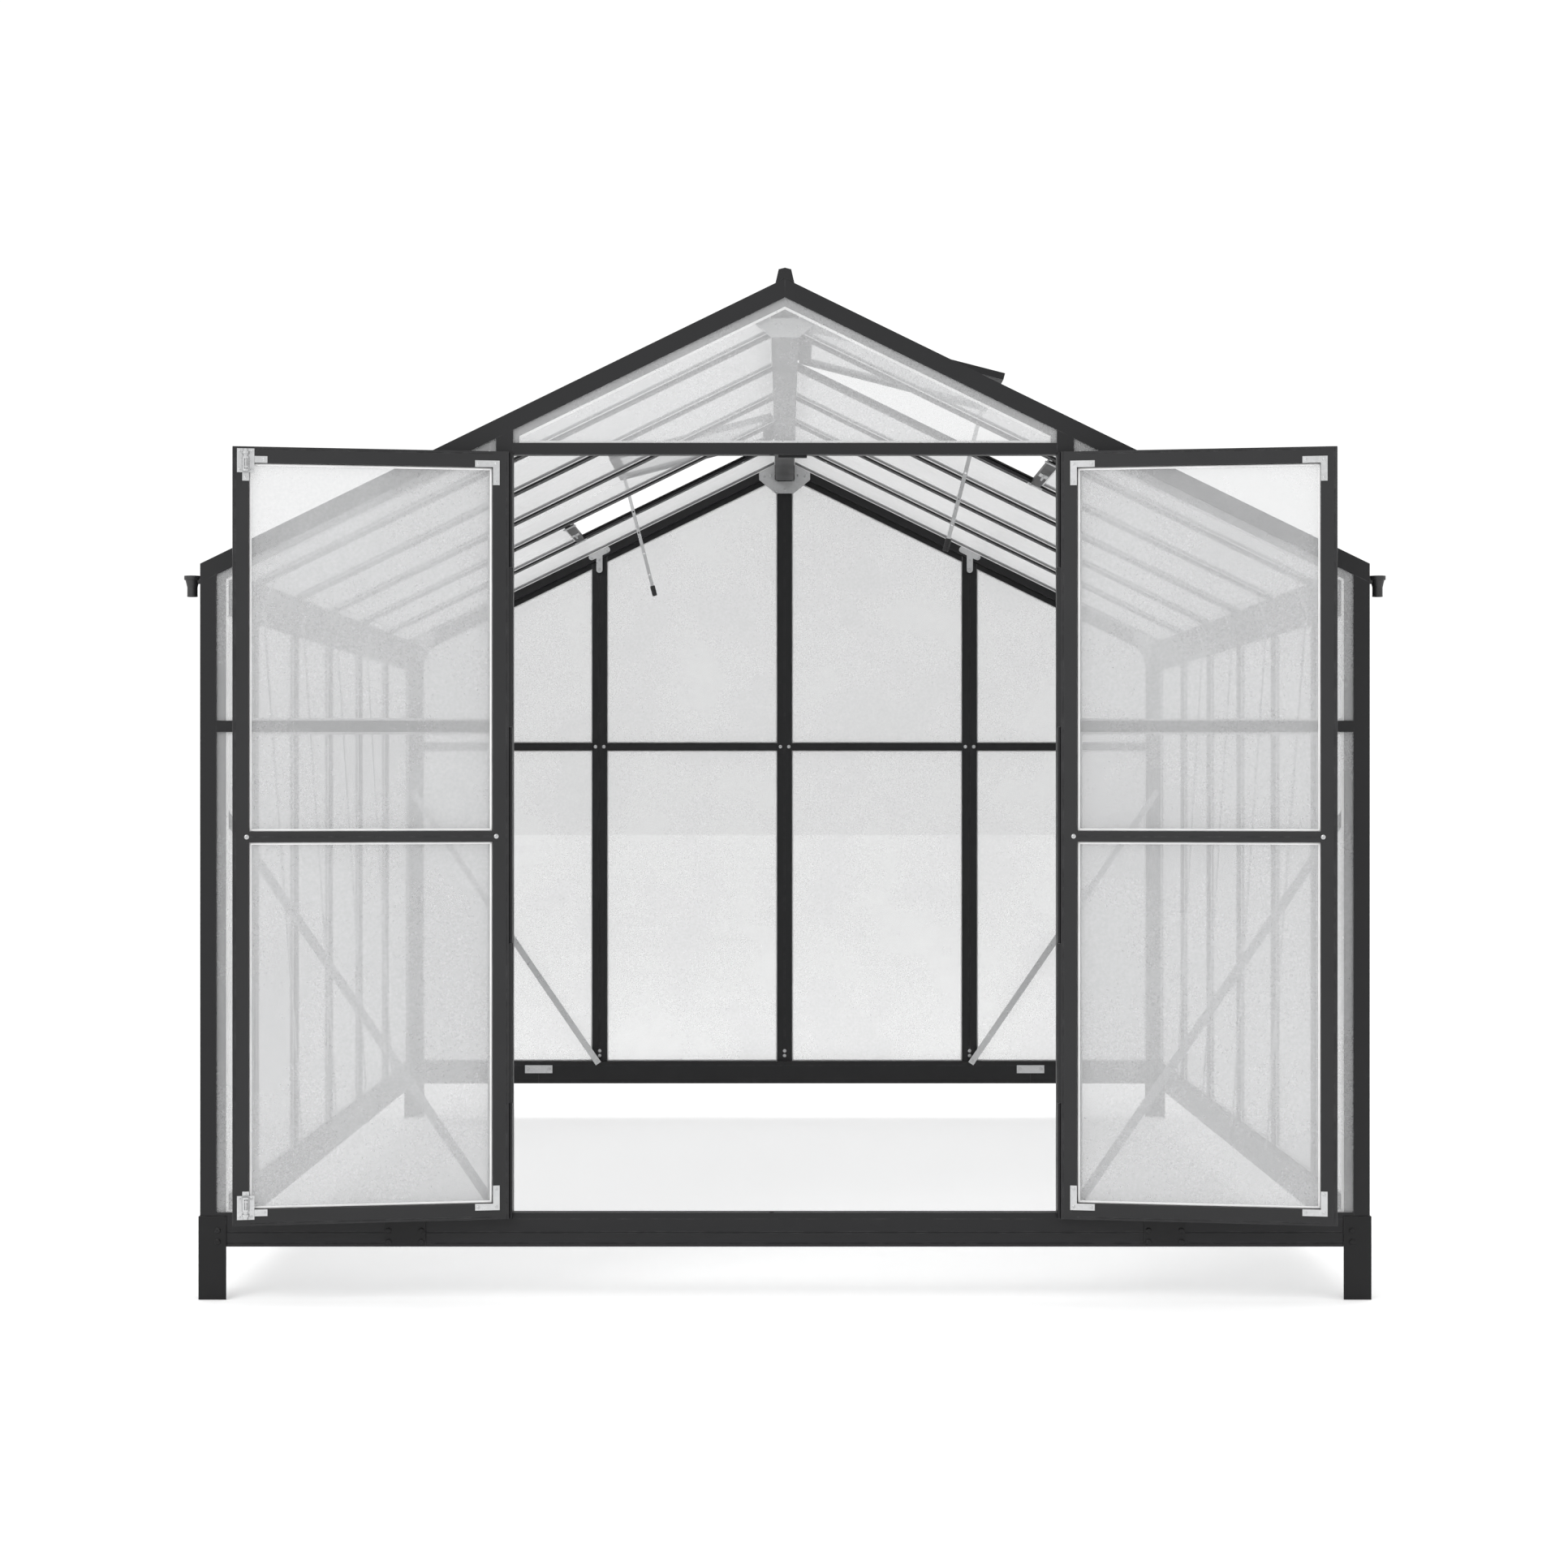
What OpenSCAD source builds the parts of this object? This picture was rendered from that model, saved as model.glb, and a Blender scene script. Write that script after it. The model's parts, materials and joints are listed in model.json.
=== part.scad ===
// Walk-in greenhouse: gable roof, two outward-opening doors, two roof vents.
// Millimetres. X runs to the right, Y to the back and Z up; z = 0 is the ground.

/* [Footprint] */
// Width over the base rails
frame_w = 2494; // [2400:2:2600]
// Spacing of the frame lines along the length
bay = 610; // [580:5:640]
// Number of bays along the length
bays = 6; // [6:1:6]

/* [Heights] */
// Underside of the base rails above the ground
base_z = 112.5; // [80:0.5:150]
// Height of the base rails
base_h = 59; // [50:1:70]
// Height of the wall sills that lie on the base rails
sill_h = 13.5; // [12:0.5:16]
// Top face of the roof at the outer wall face
eave_z = 1569; // [1560:1:1600]
// Roof pitch in degrees
pitch = 26; // [25:0.5:27]
// Underside of the door header
header_z = 1801.5; // [1795:0.5:1805]
// Underside of the wall mid rails
mid_z = 1210; // [1100:5:1250]

/* [Frame members] */
// Face width of studs and rafters
face_w = 34; // [32:1:38]
// Width of the inner flange of studs and rafters
back_w = 48; // [44:1:52]
// Depth of studs and roof rafters
stud_d = 16; // [14:1:20]
// Depth of posts, jambs, header and gable rafters
post_d = 30; // [28:1:34]
// Face width of the gable rafters
gable_w = 36; // [34:1:40]

/* [Doors] */
// Centre of the hinge pins from the middle of the doorway
hinge_x = 584; // [580:1:590]
// Thickness of a door leaf
leaf_t = 25; // [22:1:28]
// Gap between a closed leaf and the wall face
leaf_gap = 1.5; // [1.2:0.1:2]
// Width of the leaf's frame members
leaf_w = 34; // [30:1:36]
// Angle of the doors from closed
door_open = 169; // [0:1:170]

/* [Roof vents] */
// Length of a vent down the slope from the ridge line
vent_len = 526; // [480:2:560]
// Lower edge of the vent opening, down the slope from the ridge line
opening_len = 704; // [690:2:720]
// Angle of the vents from closed
vent_open = 11.6; // [0:0.1:30]

/* [Hidden] */
$fn = 32;
BLACK = "#262626";
CHARCOAL = "#3a3a3a";
SILVER = "#c9cacc";
CLEAR = "#e8edf0b0";

// Outer faces of the frame
xo = frame_w / 2;
frame_l = bays * bay + 2 * post_d;
// Steel plate, bolt and panel sizes
plate_t = 3;
stake_w = 59;
bolt_r = 4;
bolt_head = 3;
brace_t = 2.5;
brace_end = 10;
panel_t = 4;
// Glazing slots: distance behind the outer face, width and depth
slot_v = 4;
slot_w = 5;
bite = 10;
lip_t = 3;
post_lip = 20;
jamb_lip = 13;
panel_v = slot_v + (slot_w - panel_t) / 2;
// Door leaves: the hinge barrel stands clear of the leaf's edge
barrel_r = 4;
pin_r = 2;
pin_gap = 0.08;
leaf_x0 = barrel_r + 0.5;
leaf_x1 = hinge_x - 1;
leaf_z0 = 175;
leaf_z1 = 1805;
leaf_mid_z = 977;
leaf_mid_h = 22;
axis_gap = leaf_gap + leaf_t / 2;
// Slide bolts on the left leaf
bolt_edge = 27;
bolt_plate = [36, 50, 2];
rod_r = 5;
rod_out = 8;
knob_r = 3;
knob_out = 13;
// Reach of the open doors in front of the wall centres the box on the origin
door_reach = axis_gap + (leaf_x1 - bolt_edge + knob_r) * sin(180 - door_open)
    + (leaf_t / 2 + rod_out + knob_out) * cos(180 - door_open);
rear_reach = plate_t + bolt_head;
y_front = -frame_l / 2 + (door_reach - rear_reach) / 2;
y_rear = y_front + frame_l;
// Levels
sill_z = base_z + base_h;
wall_z = sill_z + sill_h;
eave_bottom = eave_z - 94;
header_h = 25;
mid_h = 24;
mid_d = 20;
jamb_in = 580;
jamb_w = 36;
// Roof
apex_z = eave_z + xo * tan(pitch);
roof_len = xo / cos(pitch);
ridge_w = 60;
ridge_bottom = 2098;
cap_w = 40;
cap_top_w = 27;
cap_h = 29;
rafter_s = 18;
vent_bay_right = 2;
vent_bay_left = 5;
vent_hinge_s = 32;
vent_hinge_n = 9;
vent_t = 16;
vent_side = 12;
vent_rail = 28;
stay_drop = 12;
stay_len = 380;
grip_l = 30;
grip_bite = 12;
splice_x = 810;
outlet_x = xo + 26;

function line_y(k) = y_front + post_d + k * bay;
// Height of a line parallel to the roof, n above its top face, at the distance x from the middle
function roof_z(x, n = 0) = apex_z - x * tan(pitch) + n / cos(pitch);

// ---- placing ----
module rear_wall() { translate([0, y_rear + y_front, 0]) mirror([0, 1, 0]) children(); }
module right_side() { mirror([1, 0, 0]) children(); }
module both_sides() { children(); right_side() children(); }
module both_ends() { children(); rear_wall() children(); }
// Left wall: local x runs to the back, local y inward from the outer face
module left_wall() { translate([-xo, 0, 0]) mirror([1, -1, 0]) children(); }
// Right roof slope: local x runs down the slope, local z out of the roof
module right_slope() { translate([0, 0, apex_z]) rotate([0, pitch, 0]) children(); }
// Bar along x from a profile of (y, z)
module along_x(length) { rotate([90, 0, 90]) linear_extrude(length) children(); }
// Bar along y from a profile of (x, z)
module along_y(length) { translate([0, length, 0]) rotate([90, 0, 0]) linear_extrude(length) children(); }
module block(from, to) { translate(from) cube(to - from); }
module rect(from, to) { translate(from) square(to - from); }
module bolt_y(head = bolt_head) {
    rotate([90, 0, 0]) cylinder(r = bolt_r, h = head);
}
// Carries its children by an angle about an upright hinge line
module about_hinge(angle) {
    translate([-hinge_x, y_front - axis_gap, 0]) rotate([0, 0, -angle])
        translate([hinge_x, axis_gap - y_front, 0]) children();
}

// ---- profiles ----
// Stud profile: x across, y inward from the outer face, slots for panels on both sides
module stud_profile(depth = stud_d) {
    difference() {
        union() {
            rect([-face_w / 2, 0], [face_w / 2, slot_v + slot_w]);
            rect([-back_w / 2, slot_v + slot_w], [back_w / 2, depth]);
        }
        for (s = [-1, 1])
            translate([s * (face_w / 2 - bite / 2), slot_v + slot_w / 2])
                square([bite + 0.001, slot_w], center = true);
        translate([0, depth]) square([4, 3], center = true);
    }
}
// Rail profile: x inward from the outer face, y up, slots above and below
module rail_profile(height, depth) {
    difference() {
        square([depth, height]);
        rect([slot_v, -1], [slot_v + slot_w, 6]);
        rect([slot_v, height - 6], [slot_v + slot_w, height + 1]);
    }
}
// Base rail tube: x inward, y up, two grooves along the outer face
module base_profile() {
    wall = 2.5;
    difference() {
        square([post_d, base_h]);
        rect([wall + 2, wall], [post_d - wall, base_h - wall]);
        for (z = [6, 29]) rect([-1, z], [2, z + 3]);
    }
}
// Corner profile: panels enter along x and along y
module corner_profile() {
    difference() {
        square([face_w, face_w]);
        rect([face_w - bite, slot_v], [face_w + 1, slot_v + slot_w]);
        rect([slot_v, face_w - bite], [slot_v + slot_w, face_w + 1]);
    }
}

// ---- base ----
module stake() {
    difference() {
        translate([-xo - plate_t, y_front - plate_t, 0]) cube([stake_w, stake_w, sill_z + 6]);
        translate([-xo, y_front, -1]) cube([stake_w, stake_w, sill_z + 8]);
    }
}
module corner_stakes() { color(BLACK) both_ends() both_sides() stake(); }

module base_end() {
    gap = 0.4;
    color(BLACK) {
        translate([-splice_x + gap, y_front, base_z]) along_x(2 * splice_x - 2 * gap) base_profile();
        both_sides() translate([-xo, y_front, base_z]) along_x(xo - splice_x) base_profile();
    }
}
module base_rail_front() { base_end(); }
module base_rail_rear() { rear_wall() base_end(); }
module base_rail_left() {
    length = frame_l - 2 * post_d;
    side = splice_x;
    mid_y = (y_front + y_rear) / 2;
    color(BLACK) left_wall() {
        for (span = [[-length / 2, -side - 0.4], [-side, side], [side + 0.4, length / 2]])
            translate([mid_y + span[0], 0, base_z]) along_x(span[1] - span[0]) base_profile();
    }
}
module base_rail_right() { right_side() base_rail_left(); }

module base_splice_plates() {
    w = 88;
    h = 55;
    mid_y = (y_front + y_rear) / 2;
    color(BLACK) both_sides() {
        both_ends() block([-splice_x - w / 2, y_front - plate_t, base_z + 1],
            [-splice_x + w / 2, y_front, base_z + 1 + h]);
        for (s = [-1, 1]) block([-xo - plate_t, mid_y + s * splice_x - w / 2, base_z + 1],
            [-xo, mid_y + s * splice_x + w / 2, base_z + 1 + h]);
    }
}
module base_joint_plates() {
    w = 90;
    h = 26;
    z0 = base_z + 34;
    color(SILVER) both_sides() both_ends()
        block([-splice_x - w / 2, y_front + post_d, z0], [-splice_x + w / 2, y_front + post_d + 2, z0 + h]);
}
module base_bolts() {
    z_rows = [base_z + 10.5, base_z + 34.5];
    mid_y = (y_front + y_rear) / 2;
    color(BLACK) both_sides() for (z = z_rows) {
        both_ends() {
            for (x = [-1209, -splice_x - 35, -splice_x + 35])
                translate([x, y_front - plate_t, z]) bolt_y();
            translate([-xo - plate_t, y_front + 40, z]) rotate([0, 0, -90]) bolt_y();
        }
        for (s = [-1, 1], e = [-1, 1])
            translate([-xo - plate_t, mid_y + s * splice_x + e * 35, z]) rotate([0, 0, -90]) bolt_y();
    }
}

// ---- walls ----
// The space below a line parallel to the roof
module under_roof(n) {
    translate([0, y_front - 50, 0]) along_y(frame_l + 100)
        polygon([[-xo - 60, 0], [xo + 60, 0], [xo + 60, roof_z(xo + 60, n)], [0, roof_z(0, n)],
            [-xo - 60, roof_z(xo + 60, n)]]);
}
module corner_posts() {
    v = [slot_v + slot_w, slot_v + slot_w + lip_t];
    top = roof_z(xo - face_w - post_lip);
    color(BLACK) both_ends() both_sides() intersection() {
        translate([-xo, y_front, 0]) {
            translate([0, 0, sill_z]) linear_extrude(top - sill_z) corner_profile();
            block([face_w - 1, v[0], wall_z], [face_w + post_lip, v[1], top]);
            block([v[0], face_w - 1, wall_z], [v[1], face_w + post_lip, eave_bottom]);
        }
        under_roof(-gable_w);
    }
}
module jamb() {
    lip = jamb_lip;
    x0 = -jamb_in - jamb_w;
    top = roof_z(jamb_in);
    head_z = header_z + header_h;
    intersection() {
        difference() {
            union() {
                block([x0, y_front, wall_z], [-jamb_in, y_front + post_d, top]);
                block([-jamb_in, y_front + slot_v + slot_w, head_z],
                    [-jamb_in + lip, y_front + slot_v + slot_w + lip_t, top]);
                block([x0 - lip, y_front + slot_v + slot_w, wall_z],
                    [x0, y_front + slot_v + slot_w + lip_t, top]);
            }
            block([x0 - 1, y_front + slot_v, wall_z - 1], [x0 + bite, y_front + slot_v + slot_w, top + 1]);
            block([-jamb_in - bite, y_front + slot_v, head_z - 6],
                [-jamb_in + 1, y_front + slot_v + slot_w, top + 1]);
        }
        under_roof(-gable_w);
    }
    for (z = jamb_barrels()) hinge_barrel(z[0], z[1], true);
}
// Heights of the barrels on the jamb and, between them, on the leaf
function jamb_barrels() = [[leaf_z0, 420], [760, 1220], [1560, leaf_z1]];
function leaf_barrels() = [[420.5, 759.5], [1220.5, 1559.5]];
// One barrel about the hinge line, with its web to the jamb or to the leaf
module hinge_barrel(z0, z1, on_jamb) {
    y = y_front - axis_gap;
    difference() {
        union() {
            translate([-hinge_x, y, z0]) cylinder(r = barrel_r, h = z1 - z0);
            if (on_jamb) block([-hinge_x, y, z0], [-hinge_x + barrel_r, y_front, z1]);
            else block([-hinge_x, y + barrel_r - 2.5, z0], [-hinge_x + leaf_x0, y + barrel_r, z1]);
        }
        translate([-hinge_x, y, z0 - 1]) cylinder(r = pin_r + pin_gap, h = z1 - z0 + 2);
    }
}
module hinge_pins() {
    color(SILVER) {
        both_sides() translate([-hinge_x, y_front - axis_gap, leaf_z0])
            cylinder(r = pin_r, h = leaf_z1 - leaf_z0);
        vent_place(vent_bay_right) vent_pin();
        right_side() vent_place(vent_bay_left) vent_pin();
    }
}
module door_jambs() { color(BLACK) both_sides() jamb(); }
// Middle of a closed slide bolt rod
rod_x = -(hinge_x - leaf_x1) - bolt_edge;
rod_y = y_front - leaf_gap + rod_out;
module door_header() {
    color(BLACK) difference() {
        block([-jamb_in, y_front, header_z], [jamb_in, y_front + post_d, header_z + header_h]);
        block([-jamb_in - 1, y_front + slot_v, header_z + header_h - 6],
            [jamb_in + 1, y_front + slot_v + slot_w, header_z + header_h + 1]);
        translate([rod_x, rod_y, header_z - 1]) cylinder(r = rod_r + 0.6, h = 17);
    }
}
module door_stop_plate() {
    color(BLACK) difference() {
        block([-14, y_front + 16, header_z - 5], [47, y_front + post_d, header_z]);
        translate([16, y_front + 23, header_z - 6]) cylinder(r = 2, h = 7);
    }
}
module sill_profile() {
    difference() {
        square([post_d, sill_h]);
        rect([slot_v, sill_h - 6], [slot_v + slot_w, sill_h + 1]);
    }
}
module wall_sills() {
    x_panels = -jamb_in - jamb_w + bite; // the slots run on as far as the panels do
    color(BLACK) {
        both_sides() translate([-xo + face_w, y_front, sill_z])
            along_x(x_panels + xo - face_w) sill_profile();
        difference() {
            block([x_panels, y_front, sill_z], [-x_panels, y_front + post_d, wall_z]);
            translate([rod_x, rod_y, sill_z + 1]) cylinder(r = rod_r + 0.6, h = sill_h);
        }
        rear_wall() translate([-xo + face_w, y_front, sill_z]) along_x(2 * (xo - face_w)) sill_profile();
        both_sides() left_wall() translate([y_front + face_w, 0, sill_z])
            along_x(frame_l - 2 * face_w) sill_profile();
    }
}
// Mid rail from x0 to x1, full depth only between the lips that it meets at its ends
module mid_rail(x0, x1, lip0, lip1) {
    translate([x0, y_front, mid_z]) along_x(x1 - x0) intersection() {
        rail_profile(mid_h, mid_d);
        square([slot_v + slot_w, mid_h]);
    }
    translate([x0 + lip0, y_front, mid_z]) along_x(x1 - x0 - lip0 - lip1) rail_profile(mid_h, mid_d);
}
module front_mid_rails() {
    color(BLACK) both_sides()
        mid_rail(-xo + face_w, -jamb_in - jamb_w, post_lip + 0.5, jamb_lip + 0.5);
}
module rear_mid_rails() {
    flange = (back_w - face_w) / 2 + 0.5;
    color(BLACK) rear_wall() both_sides() {
        mid_rail(-xo + face_w, -bay - face_w / 2, post_lip + 0.5, flange);
        mid_rail(-bay + face_w / 2, -face_w / 2, flange, flange);
    }
}
module rear_stud(x) {
    intersection() {
        translate([x, y_front, wall_z]) linear_extrude(1200 + eave_z - wall_z) stud_profile();
        under_roof(-gable_w);
    }
}
module rear_studs() { color(BLACK) rear_wall() for (x = [-bay, 0, bay]) rear_stud(x); }
module side_studs_left() {
    color(BLACK) left_wall() for (k = [1 : bays - 1])
        translate([line_y(k), 0, wall_z]) linear_extrude(eave_bottom - wall_z) stud_profile();
}
module side_studs_right() { right_side() side_studs_left(); }

// ---- roof frame ----
// Eave beam with the gutter: x inward from the outer face, y up from its underside
module eave_profile() {
    web = 28;
    gutter = 53;
    top = roof_z(xo - web, -stud_d) - eave_bottom;
    difference() {
        union() {
            square([slot_v, gutter + 20]);
            rect([0, 11], [web, 14]);
            rect([slot_v + slot_w, 0], [slot_v + slot_w + lip_t, 14]);
            rect([0, gutter - 3], [web, gutter]);
            polygon([[web - 3, 0], [web, 0], [web, top], [web - 3, top - 3 * tan(pitch)]]);
            rect([slot_v + slot_w, 0], [web, 3]);
        }
        translate([web, 60]) square([2, 2], center = true);
    }
}
module eave_beam_left() {
    color(BLACK) difference() {
        translate([-xo, y_front + face_w, eave_bottom]) along_y(frame_l - 2 * face_w) eave_profile();
        translate([-xo - 1, y_front + 52, eave_bottom + 61]) rotate([0, 90, 0]) cylinder(r = 5, h = 7);
    }
}
module eave_beam_right() { right_side() eave_beam_left(); }
// Funnel and spigot beside the gutter's front end
module gutter_outlet() {
    y = y_front + 52;
    top = eave_bottom + 71;
    difference() {
        union() {
            translate([-outlet_x, y, top - 25]) cylinder(r1 = 11, r2 = 15, h = 17);
            translate([-outlet_x, y, top - 8]) cylinder(r = 17.5, h = 8);
            translate([-outlet_x, y, top - 45]) cylinder(r = 11, h = 20);
            translate([-outlet_x, y, eave_bottom + 61]) rotate([0, 90, 0]) cylinder(r = 7.5, h = 25.9);
            translate([-outlet_x, y, eave_bottom + 61]) rotate([0, 90, 0]) cylinder(r = 4.9, h = 30);
        }
        translate([-outlet_x, y, top - 46]) cylinder(r = 9, h = 44);
        translate([-outlet_x, y, eave_bottom + 61]) rotate([0, 90, 0]) cylinder(r = 3.5, h = 32);
    }
}
module gutter_outlets() { color(BLACK) both_sides() gutter_outlet(); }

module cap_profile() {
    z0 = roof_z(cap_w / 2);
    polygon([[-cap_w / 2, z0 + 0.5], [-cap_top_w / 2, z0 + cap_h], [0, z0 + cap_h + 3.5],
        [cap_top_w / 2, z0 + cap_h], [cap_w / 2, z0 + 0.5], [14, roof_z(14) + 0.5],
        [0, roof_z(0) + 0.5], [-14, roof_z(14) + 0.5]]);
}
module ridge_profile() {
    shoulder = roof_z(ridge_w / 2, -stud_d) - 1;
    difference() {
        union() {
            rect([-ridge_w / 2, ridge_bottom], [ridge_w / 2, shoulder]);
            rect([-14, shoulder - 1], [14, roof_z(0) + 1]);
            cap_profile();
        }
        rect([-ridge_w / 2 + 3, ridge_bottom + 3], [ridge_w / 2 - 3, shoulder - 3]);
        rect([-2, ridge_bottom - 1], [2, ridge_bottom + 1]);
        rect([-9, shoulder + 3], [9, roof_z(0) - 3]);
    }
}
module ridge_beam() {
    color(BLACK) difference() {
        union() {
            translate([0, y_front + post_d, 0]) along_y(frame_l - 2 * post_d) ridge_profile();
            vent_place(vent_bay_right) vent_lugs();
            right_side() vent_place(vent_bay_left) vent_lugs();
        }
        vent_place(vent_bay_right) vent_lug_bores();
        right_side() vent_place(vent_bay_left) vent_lug_bores();
    }
}
module ridge_end_caps() {
    color(BLACK) both_ends() translate([0, y_front - 1, 0]) along_y(post_d + 1) cap_profile();
}
// Gable rafter: slot below for the gable panels and one inside for the roof panel
module gable_rafter() {
    lip = 17;
    intersection() {
        right_slope() translate([0, y_front, 0]) along_x(roof_len + 60) difference() {
            union() {
                rect([0, -gable_w], [post_d, 0]);
                rect([slot_v + slot_w, -gable_w - lip], [slot_v + slot_w + lip_t, -gable_w + 1]);
            }
            rect([slot_v, -gable_w - 1], [slot_v + slot_w, -gable_w + bite]);
            rect([post_d - bite, -slot_v - slot_w], [post_d + 1, -slot_v]);
        }
        block([0.2, y_front - 1, eave_z - 200], [xo, y_front + post_d + 1, apex_z + 10]);
    }
}
module front_gable_rafter() {
    difference() {
        gable_rafter();
        flange_notch(jamb_in - jamb_lip - 0.5, jamb_in + jamb_w + jamb_lip + 0.5);
        flange_notch(xo - face_w - post_lip - 0.5, xo + 1);
    }
}
module rear_gable_rafter() {
    difference() {
        gable_rafter();
        flange_notch(-1, back_w / 2 + 0.5);
        flange_notch(bay - back_w / 2 - 0.5, bay + back_w / 2 + 0.5);
        flange_notch(xo - face_w - post_lip - 0.5, xo + 1);
    }
}
// Cuts the rafter's inner flange between two distances from the middle
module flange_notch(x0, x1) {
    translate([0, y_front + slot_v + slot_w - 0.5, 0]) along_y(post_d)
        polygon([[x0, roof_z(x0, -gable_w - 40)], [x1, roof_z(x1, -gable_w - 40)],
            [x1, roof_z(x1, -gable_w)], [x0, roof_z(x0, -gable_w)]]);
}
module gable_rafters_front() { color(BLACK) both_sides() front_gable_rafter(); }
module gable_rafters_rear() { color(BLACK) rear_wall() both_sides() rear_gable_rafter(); }

module rafter(k) {
    right_slope() translate([rafter_s, line_y(k), 0]) along_x((xo - 14) / cos(pitch) - rafter_s)
        mirror([0, 1]) difference() {
            stud_profile();
        }
}
module rafters_right() {
    color(BLACK) difference() {
        for (k = [1 : bays - 1]) rafter(k);
        rafter_clearance();
    }
}
// Room for the ridge beam at the rafters' upper ends
module rafter_clearance() {
    translate([0, y_front, 0]) along_y(frame_l)
        polygon([[-ridge_w / 2 - 0.5, ridge_bottom], [ridge_w / 2 + 0.5, ridge_bottom],
            [ridge_w / 2 + 0.5, roof_z(ridge_w / 2, -stud_d) - 0.5],
            [14.5, roof_z(ridge_w / 2, -stud_d) - 0.5], [14.5, roof_z(14) + 0.2], [0, roof_z(0) + 0.2]]);
}
module rafters_left() { right_side() rafters_right(); }

// Moves to the middle of a roof bay on the right slope
module vent_place(n) { right_slope() translate([0, (line_y(n - 1) + line_y(n)) / 2, 0]) children(); }
module crossbar() {
    translate([opening_len - 7, -bay / 2 + face_w / 2 + 0.3, -stud_d - 4])
        difference() {
            cube([25, bay - face_w - 0.6, stud_d + 4]);
            translate([17, -1, stud_d + 4 - slot_v - slot_w]) cube([9, bay, slot_w]);
            for (y = [-1, bay - face_w - 0.6 - 7.2]) translate([-1, y, -1]) cube([27, 8.2, 12]);
        }
}
module vent_crossbars() {
    color(BLACK) {
        vent_place(vent_bay_right) crossbar();
        right_side() vent_place(vent_bay_left) crossbar();
    }
}
// Strip with two pins for the holes of the stay, and the end cleats of the crossbar
module holder() {
    z = -stud_d - 4;
    s = opening_len + 5.5;
    difference() {
        block([s - 11, -33, z - 2], [s + 11, 33, z]);
        for (y = [-27, 27]) translate([s, y, z - 3]) cylinder(r = 2.5, h = 4);
    }
    for (y = [-15, 15]) translate([s, y, z - 12]) cylinder(r = 2.5, h = 10.5);
    for (e = [-1, 1]) translate([s - 20, e * (bay / 2 - 42) - 12, z - 2]) difference() {
        cube([40, 24, 2]);
        for (x = [7, 33]) translate([x, 12, -1]) cylinder(r = 2.5, h = 4);
    }
}
module stay_holders() {
    color(SILVER) {
        vent_place(vent_bay_right) holder();
        right_side() vent_place(vent_bay_left) holder();
    }
}

// ---- braces, plates and bolts ----
// Ends of the braces: [x or y along the wall, z]
function gable_brace() = [[-xo + 20, 1075], [-bay - 3, sill_z + 7]];
function side_brace(k) = [[line_y(k) + 4, eave_bottom + 9], [line_y(k + 1) - 4, sill_z + 7]];
// Flat bar between two points of a wall plane, on the inner side
module brace_bar(ends, w) {
    d = ends[1] - ends[0];
    translate([ends[0][0], 0, ends[0][1]]) rotate([0, -atan2(d[1], d[0]), 0])
        translate([0, 0, -w / 2]) difference() {
            cube([norm(d), brace_t, w]);
            for (x = [brace_end, norm(d) - brace_end])
                translate([x, 4, w / 2]) rotate([90, 0, 0]) cylinder(r = 3, h = 6);
        }
}
// Bolt along y from y0 to the bar's inner face, at one end of a brace
module brace_bolt(ends, at_foot, y0, y1) {
    u = (ends[1] - ends[0]) / norm(ends[1] - ends[0]);
    p = at_foot ? ends[1] - brace_end * u : ends[0] + brace_end * u;
    translate([p[0], y1, p[1]]) {
        rotate([90, 0, 0]) cylinder(r = 2.8, h = y1 - y0);
        translate([0, bolt_head, 0]) rotate([90, 0, 0]) cylinder(r = 5, h = bolt_head);
    }
}
module gable_braces() {
    color(SILVER) both_ends() both_sides() translate([0, y_front + face_w + 0.3, 0])
        brace_bar(gable_brace(), 20);
}
module side_braces() {
    color(SILVER) both_sides() left_wall() for (k = [1 : bays - 2])
        translate([0, post_d + 0.4, 0]) brace_bar(side_brace(k), 16);
}
module rounded_bar(length, w, t) {
    cube_l = length - w;
    translate([-cube_l / 2, 0, -w / 2]) cube([cube_l, t, w]);
    for (s = [-1, 1]) translate([s * cube_l / 2, t, 0]) rotate([90, 0, 0]) cylinder(r = w / 2, h = t);
}
// Upper edge of the end walls' plates, measured from the roof's top face
under_panels = -panel_v - panel_t - 0.5;
// T plate that joins a rear stud to the gable rafter above it
module t_plate(x) {
    z = roof_z(abs(x), under_panels - 10);
    s = x < 0 ? -1 : 1;
    translate([x, y_front + post_d, z]) {
        rotate([0, s * pitch, 0]) rounded_bar(76, 20, 2);
        translate([-10, 0, -54]) cube([20, 2, 52]);
        translate([0, 2, -54]) rotate([90, 0, 0]) cylinder(r = 10, h = 2);
    }
}
// V plate that joins the two gable rafters and takes the ridge beam's end between its arms
module ridge_gusset() {
    gap = ridge_w / 2 + 2.5;
    arm = 84;
    foot = ridge_bottom - 42;
    translate([0, y_front + post_d + 0.2, 0]) along_y(2) difference() {
        polygon([[-30, foot], [30, foot], [arm, roof_z(arm, -gable_w + 4)], [arm, roof_z(arm, under_panels)],
            [0, roof_z(0, under_panels)], [-arm, roof_z(arm, under_panels)],
            [-arm, roof_z(arm, -gable_w + 4)]]);
        rect([-gap, ridge_bottom - 2], [gap, apex_z]);
    }
}
module corner_gusset() {
    x0 = xo - face_w - 0.5;
    x1 = x0 - 62;
    foot = eave_bottom + 25;
    translate([0, y_front + post_d + 0.2, 0]) along_y(2)
        polygon([[-x0, roof_z(x0, under_panels)], [-x1, roof_z(x1, under_panels)],
            [-x1, roof_z(x1, -gable_w + 2)],
            [-x0 + 24, foot], [-x0, foot]]);
}
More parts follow.
